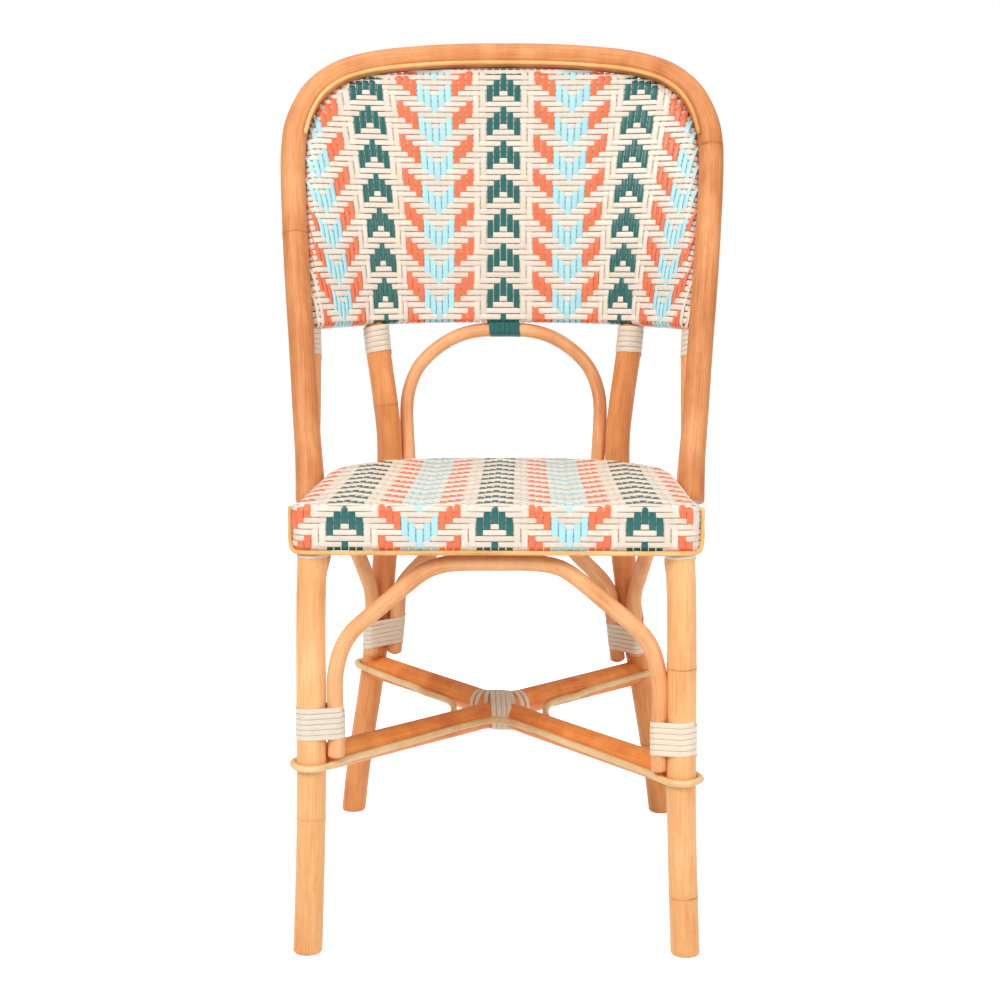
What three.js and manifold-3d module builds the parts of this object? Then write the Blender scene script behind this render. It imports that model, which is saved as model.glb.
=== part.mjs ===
// Rattan bistro chair: bent poles lashed with strips, a woven seat and a woven barrel back
// Millimetres, Z up, front towards -Y
import * as THREE from 'three';
import { mergeVertices } from 'three/addons/utils/BufferGeometryUtils.js';
import Module from 'manifold-3d';

const wasm = await Module();
wasm.setup();

// Clearance between pieces, and how thick the weave is
const gap = 0.3;
const weave = 2.6;

// Pole diameters
const frontPole = 28.8;
const rearPole = 28;
const hoopPole = 29;
const innerPole = 18;
const railPole = 19.4;
const frontArchPole = 19;
const lowArchPole = 17.5;
const midArchPole = 15.4;
const backRailPole = 12;
const crossFrontPole = 26;
const crossRearPole = 27.6;
const loopCane = 7.4;
const edgeCane = 4.6;

// Seat
const seatHeight = 450;
const seatWidth = 387;
const seatRearWidth = 380;
const seatDepth = 393.7;
const seatRearCorner = 95;
const seatSkirt = 43.2;
const seatEdge = 5;
const seatRearDrop = 8;
const edgeCaneDrop = 9;
const seatEdgeShare = 0.3;
const rearCornerAngle = 1.26;

// Feet
const frontFootSpread = 372.6;
const rearFootSpread = 366;
const rearFootBack = 455;
const footChamfer = 2;

// Back
const hoopHeight = 890.6;
const hoopFootDrop = 38;
const hoopSpread = 467.8;
const hoopFootBack = 236.6;
const hoopTopBack = 440;
const backBottom = 590;
const backLean = 11;
const backEdge = 6;
const barrelPower = 2.8;
const hoopWidestShare = 0.78;
const uprightLowShare = 0.6114;
const uprightTopShare = 0.6285;
const uprightTop = 838;
const uprightTaper = 12;
const innerRise = 35;
const notchWidth = 34;
const caneReachShare = 0.3;
const caneAngle = 1.06;

// Arches, cross and loop; left and right differ a little, as the chair is made by hand
const archEnds = { left: 199, right: 186 };
const sideArchEnds = { left: 212, right: 201 };
const rearArchEnd = 199;
const frontArchDrop = 6.6;
const lowArchSlack = 0.46;
const sideArchEndAngle = 0.12;
const crossEnds = { left: 198, right: 187 };
const crossRearEnds = { left: 184, right: 177 };
const crossMiddle = 185;
const crossFrontBack = 208;
const crossRearward = 6.8;
const crossBend = 18;
const loopEnds = { left: 194.7, right: 181.5 };
const loopRearEnds = { left: 188, right: 182 };
const loopTurn = 66;
const loopFrontAngles = { from: -2.06, to: 0.35 };
const loopRearAngles = { from: -0.91, to: 2.44 };

// Flat strips of the lashings
const stripWide = 4.7;
const stripThick = 1.2;
const stripPitch = 5.4;
const lashTurns = 5.5;
const wrapTurns = 3.5;
const greenTurns = 5;
const crossTurns = 2.5;
const crossLashRoom = 1.8;
const crossLashSlack = 1.5;
const lashFront = { left: 217, right: 204 };
const lashRear = { left: 210, right: 208 };

// Fineness of the lines and rings
const fineSteps = 400;
const rimSteps = 20;
const columnSteps = 24;
const railSteps = 8;
const railCornerSteps = 12;
const seatFrontSteps = 4;
const seatRearSteps = 6;
const roundSteps = 6;
const crossTrimSteps = 8;
const bigSides = 10;
const smallSides = 8;
const thinSides = 6;
const lashSteps = 16;
const wrapSteps = 12;
const bendError = 0.35;
const nearlyAlongShare = 0.9;
const longestStep = 90;

const frontRadius = frontPole / 2;
const rearRadius = rearPole / 2;
const hoopRadius = hoopPole / 2;
const innerRadius = innerPole / 2;
const railRadius = railPole / 2;
const frontArchRadius = frontArchPole / 2;
const lowArchRadius = lowArchPole / 2;
const midArchRadius = midArchPole / 2;
const backRailRadius = backRailPole / 2;
const crossFrontRadius = crossFrontPole / 2;
const crossRearRadius = crossRearPole / 2;
const loopRadius = loopCane / 2;
const edgeRadius = edgeCane / 2;

const sides = ['left', 'right'];
const honey = [0xe5a468, 0.42];
const deepHoney = [0xd98b4c, 0.42];
const paleCane = [0xe9cf98, 0.5];
const amber = [0xdfa765, 0.4];
const beige = [0xecdcc4, 0.55];
const green = [0x1f6f66, 0.5];

const chair = new THREE.Group();

function add(name, geometry, [color, roughness]) {
  const material = new THREE.MeshStandardMaterial({ color, roughness, metalness: 0 });
  const mesh = new THREE.Mesh(geometry, material);
  mesh.name = name;
  chair.add(mesh);
}

function place(x, y, z) {
  return new THREE.Vector3(x, y, z);
}

function mix(a, b, share) {
  return a + (b - a) * share;
}

function mirrored(points) {
  return points.map((p) => place(-p.x, p.y, p.z));
}

function bothSides(half) {
  return [...mirrored(half), ...half.slice(0, -1).reverse()];
}

function smooth(points, closed = false) {
  return new THREE.CatmullRomCurve3(points, closed, 'centripetal').getSpacedPoints(fineSteps);
}

// A closed skin over a row of equal rings, with flat ends, or joined end to start
function loft(rings, joined = false) {
  const count = rings[0].length;
  const positions = rings.flat().flatMap((p) => [p.x, p.y, p.z]);
  const faces = [];
  const rows = joined ? rings.length : rings.length - 1;
  for (let row = 0; row < rows; row++) {
    const here = row * count;
    const next = ((row + 1) % rings.length) * count;
    for (let i = 0; i < count; i++) {
      const j = (i + 1) % count;
      faces.push(here + i, here + j, next + j, here + i, next + j, next + i);
    }
  }
  const last = (rings.length - 1) * count;
  for (let i = 0; !joined && i + 1 < count - 1 - i; i++) {
    const k = count - 1 - i;
    faces.push(i, k, i + 1, last + i, last + i + 1, last + k);
    if (i + 1 < k - 1) faces.push(i + 1, k, k - 1, last + i + 1, last + k - 1, last + k);
  }
  const geometry = new THREE.BufferGeometry();
  geometry.setAttribute('position', new THREE.Float32BufferAttribute(positions, 3));
  geometry.setIndex(faces);
  return geometry;
}

function solid(geometry) {
  const plain = geometry.clone();
  plain.deleteAttribute('normal');
  plain.deleteAttribute('uv');
  const merged = mergeVertices(plain);
  const vertProperties = new Float32Array(merged.attributes.position.array);
  const triVerts = new Uint32Array(merged.index.array);
  return new wasm.Manifold(new wasm.Mesh({ numProp: 3, vertProperties, triVerts }));
}

// A piece with the space that its neighbours need taken out of it
function cut(geometry, tools) {
  let body = solid(geometry);
  for (const tool of tools) body = body.subtract(solid(tool));
  const mesh = body.getMesh();
  const result = new THREE.BufferGeometry();
  result.setAttribute('position', new THREE.BufferAttribute(new Float32Array(mesh.vertProperties), 3));
  result.setIndex(new THREE.BufferAttribute(new Uint32Array(mesh.triVerts), 1));
  return result;
}

// How far the points between two others stray from the chord that joins them
function strayed(line, from, to) {
  const chord = new THREE.Line3(line[from], line[to]);
  const errors = line.slice(from, to).map((point) => {
    const foot = chord.closestPointToPoint(point, true, new THREE.Vector3());
    return foot.distanceTo(point);
  });
  return Math.max(...errors);
}

// Keeps only the points of a fine line that its bends need
function thinned(line, longest) {
  const kept = [0];
  line.forEach((point, k) => {
    const from = kept[kept.length - 1];
    const far = line[from].distanceTo(point) > longest;
    if (k > from + 1 && (far || strayed(line, from, k) > bendError)) kept.push(k - 1);
  });
  kept.push(line.length - 1);
  return kept;
}

function direction(line, k) {
  const before = line[Math.max(k - 1, 0)];
  const after = line[Math.min(k + 1, line.length - 1)];
  return new THREE.Vector3().subVectors(after, before).normalize();
}

// Stations along a line, each with the frame that its ring stands in
function stationsOf(line, longest) {
  const stations = [];
  let side = place(1, 0, 0);
  for (const k of thinned(line, longest)) {
    const along = direction(line, k);
    if (Math.abs(side.dot(along)) > nearlyAlongShare) side = place(0, 1, 0);
    side = side.clone().addScaledVector(along, -side.dot(along)).normalize();
    stations.push({ at: line[k], along, side, up: new THREE.Vector3().crossVectors(along, side) });
  }
  return stations;
}

function ringAt(station, radius, count) {
  const ring = [];
  for (let i = 0; i < count; i++) {
    const turn = (2 * Math.PI * (i + 0.5)) / count;
    const point = station.at.clone().addScaledVector(station.side, radius * Math.cos(turn));
    ring.push(point.addScaledVector(station.up, radius * Math.sin(turn)));
  }
  return ring;
}

// A round pole along a fine line, of one radius or of a radius for each point
function pole(line, radius, count, longest = longestStep) {
  const radiusAt = typeof radius === 'function' ? radius : () => radius;
  return loft(stationsOf(line, longest).map((station) => ringAt(station, radiusAt(station.at), count)));
}

// A leg stands level on the floor, with a small chamfer round its foot
function leg(line, radius) {
  const radiusAt = typeof radius === 'function' ? radius : () => radius;
  const stations = stationsOf(line, longestStep);
  const rings = stations.map((station) => ringAt(station, radiusAt(station.at), bigSides));
  const { along } = stations[0];
  const sole = ringAt(stations[0], radiusAt(stations[0].at) - footChamfer, bigSides);
  for (const point of rings[0]) point.addScaledVector(along, (footChamfer - point.z) / along.z);
  for (const point of sole) point.addScaledVector(along, -point.z / along.z);
  return loft([sole, ...rings]);
}

// Where a fine line first passes a level on one axis
function crossing(line, level, axis = 'z') {
  const past = (i) => line[i][axis] - level;
  const k = line.findIndex((point, i) => i > 0 && past(i - 1) * past(i) <= 0);
  if (k < 0) throw new Error('a line does not reach its level');
  const at = line[k - 1].clone().lerp(line[k], past(k - 1) / (past(k - 1) - past(k)));
  return { at, along: direction(line, k) };
}

function rightHalf(line) {
  return line.slice(fineSteps / 2).reverse();
}

// A flat strip wound round one pole, or round several poles together
function winding(poles, axis, start, turns, steps) {
  const rise = stripPitch * turns;
  const { along } = crossing(poles[0].line, start + rise / 2, axis);
  if (along[axis] < 0) along.negate();
  const side = axis === 'z' ? place(1, 0, 0) : place(0, 1, 0);
  side.addScaledVector(along, -side.dot(along)).normalize();
  const up = new THREE.Vector3().crossVectors(along, side);
  const rings = [];
  for (let i = 0; i <= turns * steps; i++) {
    const level = start + (along[axis] * stripPitch * i) / steps;
    const turn = (2 * Math.PI * i) / steps;
    const out = side.clone().multiplyScalar(Math.cos(turn)).addScaledVector(up, Math.sin(turn));
    const base = crossing(poles[0].line, level, axis).at;
    let best = { reach: -Infinity };
    for (const { line, radius } of poles) {
      const { at } = crossing(line, level, axis);
      at.addScaledVector(along, -at.clone().sub(base).dot(along));
      const reach = at.dot(out) + radius;
      if (reach > best.reach) best = { at, radius, reach };
    }
    const inner = (best.radius + 2 * gap) / Math.cos(Math.PI / steps);
    const corner = (deep, high) => best.at.clone().addScaledVector(out, inner + deep)
      .addScaledVector(along, (stripWide / 2) * high);
    rings.push([corner(0, -1), corner(0, 1), corner(stripThick, 1), corner(stripThick, -1)]);
  }
  return { geometry: loft(rings), least: leastGap(rings, steps) };
}

// The least distance from one turn's edge to the next turn's
function leastGap(rings, steps) {
  let least = Infinity;
  for (let i = 0; i < rings.length; i++) {
    for (let k = Math.max(i + 1, i + steps - 2); k <= Math.min(i + steps + 2, rings.length - 1); k++) {
      for (const upper of [1, 2]) {
        for (const lower of [0, 3]) least = Math.min(least, rings[i][upper].distanceTo(rings[k][lower]));
      }
    }
  }
  return least;
}

function addWinding(name, finish, ...rest) {
  const { geometry, least } = winding(...rest);
  console.log(name + ' least gap to itself ' + least.toFixed(2) + ' mm');
  add(name, geometry, finish);
}

// Seat outline in plan: straight front, tapering sides and round rear corners
const seatCorner = frontRadius + 2 * gap + weave;
const seatFront = -seatCorner;
const seatBack = seatFront + seatDepth;
const seatCornerBack = seatBack - seatRearCorner;
const seatDropRate = seatRearDrop / seatDepth;
const underside = seatHeight - seatSkirt;

function seatLevel(height, y) {
  return height - seatDropRate * (y - seatFront);
}

function seatSide(y) {
  return mix(seatWidth / 2, seatRearWidth / 2, y / seatCornerBack);
}

function seatOutline(inset, frontSteps, rearSteps) {
  const half = seatWidth / 2 - inset;
  const rearHalf = seatRearWidth / 2 - inset;
  const frontCorner = seatCorner - inset;
  const rearCorner = seatRearCorner - inset;
  const points = [];
  for (let i = 0; i <= frontSteps; i++) {
    const turn = (Math.PI / 2) * (i / frontSteps);
    points.push([half - frontCorner * (1 - Math.sin(turn)), -frontCorner * Math.cos(turn)]);
  }
  for (let i = 0; i <= rearSteps; i++) {
    const turn = (Math.PI / 2) * (i / rearSteps);
    const x = rearHalf - rearCorner * (1 - Math.cos(turn));
    points.push([x, seatCornerBack + rearCorner * Math.sin(turn)]);
  }
  return points;
}

function seatRing(inset, height) {
  const right = seatOutline(inset, seatFrontSteps, seatRearSteps);
  const left = right.map(([x, y]) => [-x, y]).reverse();
  return [...right, ...left].map(([x, y]) => place(x, y, seatLevel(height, y)));
}

// Front legs lean in a little and end inside the seat's front corners
const legTop = seatHeight - weave - gap - seatDropRate * frontPole;
const legTopHalf = seatWidth / 2 - weave - 2 * gap - frontRadius;
const legFlareShares = [[0, 1], [0.22, 0.6], [0.37, 0.42], [0.6, 0.31], [0.78, 0.2], [0.9, 0], [1, 0]];
const legFlare = frontFootSpread / 2 - legTopHalf;
const frontLegRight = smooth(legFlareShares.map(([rise, out]) => place(
  legTopHalf + legFlare * out, 0, legTop * rise)));
const frontLegs = { left: mirrored(frontLegRight), right: frontLegRight };

// Outer hoop: one pole bent in a plane that leans back
const hoopSideShares = [
  [0.066, 0.09], [0.27, 0.219], [0.46, 0.351], [0.68, 0.485], [0.87, 0.618], [0.984, 0.72], [1, 0.78],
];
const hoopTopShares = [
  [0.991, 0.828], [0.9645, 0.866], [0.934, 0.898], [0.885, 0.927], [0.7935, 0.958],
  [0.641, 0.981], [0.4275, 0.9937], [0.214, 0.9992], [0, 1],
];
const hoopFootHeight = seatHeight - hoopFootDrop;
const hoopRise = hoopHeight - hoopFootHeight;
const hoopLean = (hoopTopBack - hoopFootBack) / hoopRise;
const hoopFootHalf = seatSide(hoopFootBack) + gap + hoopRadius;
const hoopWidestHeight = hoopFootHeight + hoopRise * hoopWidestShare;

function hoopDepth(height) {
  return hoopFootBack + hoopLean * (height - hoopFootHeight);
}

function hoopSpot(half, rise) {
  const height = hoopFootHeight + hoopRise * rise;
  return place(half, hoopDepth(height), height);
}
const hoopSide = hoopSideShares.map(([out, rise]) => hoopSpot(mix(hoopFootHalf, hoopSpread / 2, out), rise));
const hoopTop = hoopTopShares.map(([out, rise]) => hoopSpot((hoopSpread / 2) * out, rise));
const hoopLine = smooth(bothSides([hoopSpot(hoopFootHalf, 0), ...hoopSide, ...hoopTop]));

// Woven back: a deep barrel at its foot, nearly flat at its top
const backHalfThick = innerRadius + gap + weave;
const backInset = hoopRadius + gap;
const innerReach = backInset + backHalfThick;

function barrelHalf(height) {
  return mix(hoopFootHalf, hoopSpread / 2, (height - hoopFootHeight) / (hoopWidestHeight - hoopFootHeight));
}

function backCentre(height) {
  return hoopTopBack - (backLean * (hoopHeight - height)) / (hoopHeight - backBottom);
}

function barrel(x, height) {
  const depth = backCentre(height) - hoopDepth(height);
  return place(x, backCentre(height) - depth * (Math.abs(x) / barrelHalf(height)) ** barrelPower, height);
}

function backNormal(x, height) {
  const here = barrel(x, height);
  const across = barrel(x + gap, height).sub(here);
  const upward = barrel(x, height + gap).sub(here);
  return upward.cross(across).normalize();
}

function backPoint(x, height, off = 0) {
  return barrel(x, height).addScaledVector(backNormal(x, height), off);
}

// A place on the barrel at a set distance inside the outer hoop
function insideHoop(k, reach) {
  const here = hoopLine[k];
  const inward = direction(hoopLine, k).cross(backNormal(here.x, here.z));
  return [here.x - inward.x * reach, here.z - inward.z * reach];
}

// Inner hoop: its feet stand behind the outer hoop's, and it rims the woven back
function innerHoopLine() {
  const footHalf = seatSide(hoopFootBack) + gap + innerRadius;
  const behind = Math.sqrt(innerReach ** 2 - (hoopFootHalf - footHalf) ** 2);
  const points = [place(-footHalf, hoopFootBack + behind, hoopFootHeight)];
  points.push(place(-footHalf - gap, hoopDepth(seatHeight) + behind, seatHeight));
  const first = hoopLine.findIndex((p) => p.z > backBottom - innerRise);
  for (let i = 0; i <= rimSteps; i++) {
    const [x, z] = insideHoop(Math.round(mix(first, fineSteps / 2, i / rimSteps)), innerReach);
    points.push(backPoint(x, z));
  }
  points[points.length - 1].x = 0;
  return smooth([...points, ...mirrored(points.slice(0, -1)).reverse()]);
}
const innerLine = innerHoopLine();

// Rear legs run from the foot past the seat's rear corners and up inside the woven back
const seatRearLevel = seatHeight - seatRearDrop;
const cornerReach = seatRearCorner + gap + rearRadius;
const uprightX = seatRearWidth / 2 - seatRearCorner + cornerReach * Math.cos(rearCornerAngle);
const uprightY = seatCornerBack + cornerReach * Math.sin(rearCornerAngle);
const uprightShares = [0, 0.3, 0.6, 1];
const rearFlareShares = [[0, 1], [0.14, 0.85], [0.32, 0.6], [0.53, 0.32], [0.73, 0.12], [0.88, 0.02]];

function rearLegLine() {
  const points = rearFlareShares.map(([rise, out]) => place(
    mix(uprightX, rearFootSpread / 2, out), mix(uprightY, rearFootBack, out), seatRearLevel * rise));
  points.push(place(uprightX, uprightY, seatRearLevel));
  points.push(place(uprightX + gap, uprightY + gap, seatHeight + seatSkirt / 2));
  for (const share of uprightShares) {
    const half = (hoopSpread / 2) * mix(uprightLowShare, uprightTopShare, share);
    points.push(backPoint(half, mix(backBottom, uprightTop, share)));
  }
  return smooth(points);
}
const rearLegRight = rearLegLine();
const rearLegs = { left: mirrored(rearLegRight), right: rearLegRight };

function rearRadiusAt(room) {
  return (p) => {
    const share = (p.z - backBottom + uprightTaper) / (uprightTaper - gap);
    return mix(rearRadius, innerRadius, Math.min(Math.max(share, 0), 1)) + room;
  };
}

const frontSpaces = {};
const rearSpaces = {};
for (const side of sides) {
  add('front_leg_' + side, leg(frontLegs[side], frontRadius), honey);
  add('back_leg_' + side, leg(rearLegs[side], rearRadiusAt(0)), honey);
  frontSpaces[side] = pole(frontLegs[side], frontRadius + gap, bigSides);
  rearSpaces[side] = pole(rearLegs[side], rearRadiusAt(gap), bigSides);
}
add('outer_hoop', pole(hoopLine, hoopRadius, bigSides), honey);
add('inner_hoop', pole(innerLine, innerRadius, smallSides), honey);

// Seat frame: two stacked rails bent round the sides and back, and two across the front
const railInset = weave + gap + railRadius;
const railHeights = { upper: seatHeight - weave - gap - railRadius };
railHeights.lower = railHeights.upper - railPole - gap;

for (const [level, height] of Object.entries(railHeights)) {
  const half = seatOutline(railInset, 1, railCornerSteps).slice(1);
  half[0][1] = frontRadius / 2;
  const right = half.map(([x, y]) => place(x, y, seatLevel(height, y)));
  const ring = smooth([...right, ...mirrored(right).reverse()]);
  add('seat_rail_' + level, cut(pole(ring, railRadius, smallSides), Object.values(frontSpaces)), honey);
  const y = seatFront + railInset;
  const ends = [place(-legTopHalf, y, seatLevel(height, y)), place(legTopHalf, y, seatLevel(height, y))];
  const front = pole(ends, railRadius, smallSides, seatWidth);
  add('seat_front_rail_' + level, cut(front, Object.values(frontSpaces)), honey);
}

// Woven seat: a tray over the rails, open below, with a cane round its front edge
add('seat_weave', loft([
  seatRing(weave, seatHeight - weave),
  seatRing(weave, underside),
  seatRing(0, underside),
  seatRing(0, seatHeight - seatEdge),
  seatRing(seatEdge * seatEdgeShare, seatHeight - seatEdge * seatEdgeShare),
  seatRing(seatEdge, seatHeight),
]), beige);

const caneOut = seatWidth / 2 + gap + edgeRadius;
const caneFront = seatFront + gap;
const caneLow = underside - gap - edgeRadius;
const caneTop = seatHeight - edgeCaneDrop;
const caneShares = [[1, 0.78, 1], [1, 0.78, 0.4], [1, 0.68, 0.1], [0.97, 0.3, 0], [0.9, 0, 0], [0, 0, 0]];
const caneHalf = caneShares.map(([out, back, rise]) => place(
  caneOut * out, caneFront * (1 - back), mix(caneLow, caneTop, rise)));
add('seat_edge_cane', pole(smooth(bothSides(caneHalf)), edgeRadius, thinSides), amber);

// Rails inside the foot of the back, fitted between the poles
const backRailHeight = backBottom + weave + gap + backRailRadius;
const innerRight = rightHalf(innerLine);
const uprightReach = crossing(rearLegRight, backRailHeight).at.x;
const innerReachX = crossing(innerRight, backRailHeight).at.x;

function backRailLine(from, to) {
  const points = [];
  for (let i = 0; i <= railSteps; i++) {
    points.push(backPoint(mix(from, to, i / railSteps), backRailHeight));
  }
  return smooth(points);
}
const backRails = {
  left: backRailLine(-innerReachX, -uprightReach),
  middle: backRailLine(-uprightReach, uprightReach),
  right: backRailLine(uprightReach, innerReachX),
};
const innerSpace = pole(innerLine, innerRadius + gap, smallSides);
const uprightSpaces = Object.values(rearSpaces);
for (const [name, line] of Object.entries(backRails)) {
  const body = pole(line, backRailRadius, smallSides);
  add('back_rail_' + name, cut(body, [...uprightSpaces, innerSpace]), honey);
}

// The woven back has room for the poles inside it, and a notch over its middle rail
const cornerShare = 0.2;
const innerColumns = Array.from({ length: columnSteps - 1 }, (empty, i) => (i + 1) / columnSteps);
const edgeColumn = backEdge / hoopSpread;
const columnShares = [0, edgeColumn, ...innerColumns, 1 - edgeColumn, 1];
const rowShares = [0, 0.022, 0.15, 0.3, 0.45, 0.6, 0.75, 0.88, 0.978, 1];

function edgeAt(share) {
  const first = hoopLine.findIndex((p, k) => insideHoop(k, backInset)[1] > backBottom);
  return insideHoop(Math.round(mix(first, fineSteps - first, share)), backInset);
}

// A place on the barrel from its share across and its share up, blended from the four edges
function backGrid(u, v) {
  const left = edgeAt(cornerShare * v);
  const right = [-left[0], left[1]];
  const top = edgeAt(mix(cornerShare, 1 - cornerShare, u));
  const foot = edgeAt(0)[0];
  const corner = edgeAt(cornerShare);
  const blend = (i, low, high, ends) => mix(left[i], right[i], u) + mix(low, high, v)
    - mix(mix(ends[0], ends[1], u), mix(ends[2], ends[3], u), v);
  const x = blend(0, mix(foot, -foot, u), top[0], [foot, -foot, corner[0], -corner[0]]);
  const z = blend(1, backBottom, top[1], [backBottom, backBottom, corner[1], corner[1]]);
  return [x, z];
}

function backSlab() {
  const rings = rowShares.map((v) => {
    const face = (way) => columnShares.map((u) => {
      const edge = u === 0 || u === 1 || v === 0 || v === 1;
      return backPoint(...backGrid(u, v), way * backHalfThick * (edge ? 0.5 : 1));
    });
    return [...face(-1), ...face(1).reverse()];
  });
  return loft(rings);
}

const loopHeight = 2 * (gap + stripThick + gap);
const notchTop = backRailHeight + backRailRadius + loopHeight;
const notch = new THREE.BoxGeometry(notchWidth, seatRearCorner, 2 * (notchTop - backBottom));
notch.translate(0, backCentre(backBottom), backBottom);
const railSpaces = Object.values(backRails).map((line) => pole(line, backRailRadius + gap, smallSides));
const hoopSpace = pole(hoopLine, hoopRadius + gap, bigSides);
add('back_weave', cut(backSlab(), [hoopSpace, innerSpace, notch, ...uprightSpaces, ...railSpaces]), beige);

// Split cane along the top of the back, under the hoop
function backCaneLine() {
  const points = [];
  for (let i = 0; i <= columnSteps; i++) {
    const share = mix(caneReachShare, 1 - caneReachShare, i / columnSteps);
    const k = Math.round(fineSteps * share);
    const here = hoopLine[k];
    const [x, z] = insideHoop(k, innerReach);
    const inward = backPoint(x, z).sub(here).normalize();
    const forward = new THREE.Vector3().crossVectors(direction(hoopLine, k), inward).normalize();
    if (forward.y > 0) forward.negate();
    const reach = hoopRadius + gap + edgeRadius;
    const point = here.clone().addScaledVector(inward, reach * Math.cos(caneAngle));
    points.push(point.addScaledVector(forward, reach * Math.sin(caneAngle)));
  }
  return smooth(points);
}
add('back_edge_cane', pole(backCaneLine(), edgeRadius, thinSides), amber);

// Arch on the seat's rear edge, reaching up to the foot of the woven back
const midArchFoot = [uprightX - rearRadius - gap - midArchRadius, seatBack + gap + midArchRadius];
const midArchLow = seatHeight - seatSkirt;
const midArchHigh = backBottom - gap - midArchRadius;
const midArchTopY = backCentre(backBottom);
const midArchShares = [
  [1, 0, 0], [1, 0.02, 0.15], [1.005, 0.22, 0.36], [1.044, 0.47, 0.549], [0.998, 0.645, 0.675],
  [0.881, 0.82, 0.806], [0.796, 0.91, 0.869], [0.668, 0.97, 0.931], [0.475, 1, 0.98],
  [0.24, 1, 1], [0, 1, 1],
];
const midArchHalf = midArchShares.map(([out, back, rise]) => place(
  midArchFoot[0] * out, mix(midArchFoot[1], midArchTopY, back), mix(midArchLow, midArchHigh, rise)));
const midArchLine = smooth(bothSides(midArchHalf));
add('mid_arch', pole(midArchLine, midArchRadius, smallSides), honey);

// A place beside a leg at a height: the turn is measured in plan from the chair's right
function beside(side, line, height, reach, turn) {
  const { at } = crossing(line, height);
  const way = side === 'left' ? -1 : 1;
  return place(at.x + way * reach * Math.cos(turn), at.y + reach * Math.sin(turn), height);
}

// Front arch: up along both front legs, then across under the seat
const frontArchRoom = railRadius + gap + frontArchRadius + frontArchDrop;
const frontArchTop = seatLevel(railHeights.lower, 0) - frontArchRoom;
const frontArchLowShares = [0, 0.2, 0.36];
const frontArchShares = [[0.975, 0.474], [0.911, 0.615], [0.803, 0.705], [0.595, 0.856], [0.475, 0.935],
  [0.376, 0.982], [0.19, 1], [0, 1]];
const frontArchReach = frontRadius + gap + frontArchRadius;

function frontArchSide(side) {
  const way = side === 'left' ? -1 : 1;
  const low = archEnds[side];
  const half = frontArchLowShares.map((rise) => beside(
    side, frontLegs[side], mix(low, frontArchTop, rise), frontArchReach, Math.PI));
  const out = Math.abs(half[0].x);
  for (const [across, rise] of frontArchShares) {
    half.push(place(way * out * across, 0, mix(archEnds.left, frontArchTop, rise)));
  }
  return half;
}
const frontArchLine = smooth([...frontArchSide('left'), ...frontArchSide('right').slice(0, -1).reverse()]);
add('front_arch', pole(frontArchLine, frontArchRadius, smallSides), honey);

// Rear arch: lashed to the rear legs, leaning forward to meet the seat's rear rail
const rearArchTopY = seatBack - railInset;
const rearArchTop = seatLevel(railHeights.lower, rearArchTopY) - railRadius - gap - lowArchRadius;
const lowArchReach = rearRadius + gap + lowArchRadius + lowArchSlack;
const rearArchLowAngles = [[0, 3.47], [0.15, 3.6], [0.31, 3.68]];
const rearArchShares = [
  [0.92, 0.45], [0.83, 0.54], [0.7, 0.635], [0.5, 0.79], [0.3, 0.935], [0.14, 0.99], [0, 1],
];

function rearArchSide(side) {
  const way = side === 'left' ? -1 : 1;
  const heightAt = (rise) => mix(rearArchEnd, rearArchTop, rise);
  const half = rearArchLowAngles.map(([rise, angle]) => beside(
    side, rearLegs[side], heightAt(rise), lowArchReach, angle));
  const foot = half[0];
  for (const [across, rise] of rearArchShares) {
    half.push(place(way * Math.abs(foot.x) * across, mix(foot.y, rearArchTopY, rise), heightAt(rise)));
  }
  return half;
}
const rearArchLine = smooth([...rearArchSide('left'), ...rearArchSide('right').slice(0, -1).reverse()]);
add('rear_arch', pole(rearArchLine, lowArchRadius, smallSides), honey);

// Side arches: from in front of a rear leg, under the side rail, to behind the front leg
const sideArchLowAngles = [[0, -1.5], [0.27, -1.27], [0.4, -1.1]];
const sideArchRearShares = [
  [0.92, 0.5, 0.12], [0.81, 0.61, 0.33], [0.67, 0.72, 0.55], [0.48, 0.85, 0.76], [0.24, 0.95, 0.92],
];
const sideArchRunShares = [1, 0.7, 0.4, 0.25];
const sideArchFrontShares = [
  [0.985, 1.9], [0.94, 1.45], [0.86, 1.15], [0.76, 1.01], [0.6, 1], [0.3, 1], [0, 1],
];
const sideArchLines = {};

function sideArchLine(side) {
  const way = side === 'left' ? -1 : 1;
  const run = (y) => seatSide(y) - railInset;
  const top = (y) => seatLevel(railHeights.lower, y) - railRadius - gap - lowArchRadius;
  const half = sideArchLowAngles.map(([rise, angle]) => beside(
    side, rearLegs[side], mix(rearArchEnd, underside, rise), lowArchReach, angle));
  const from = half[half.length - 1];
  const endY = seatCornerBack - seatRearCorner / 2;
  for (const [back, rise, out] of sideArchRearShares) {
    const x = mix(Math.abs(from.x), run(endY), out);
    half.push(place(way * x, mix(endY, from.y, back), mix(rearArchEnd, top(endY), rise)));
  }
  for (const share of sideArchRunShares) {
    const y = endY * share;
    half.push(place(way * run(y), y, top(y)));
  }
  const behind = frontRadius + gap + lowArchRadius;
  const endAngle = Math.PI / 2 + sideArchEndAngle;
  for (const [rise, back] of sideArchFrontShares) {
    const height = mix(sideArchEnds[side], top(behind), rise);
    half.push(beside(side, frontLegs[side], height, behind * back, endAngle));
  }
  return smooth(half);
}
for (const side of sides) {
  sideArchLines[side] = sideArchLine(side);
  add('side_arch_' + side, pole(sideArchLines[side], lowArchRadius, smallSides), honey);
}

// Cross: two bent poles back to back, each from leg to leg
const crossArmShares = [0, 0.3, 0.6, 0.8, 0.91];
const crossRearBack = crossFrontBack + crossFrontRadius + gap + crossRearRadius;

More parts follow.
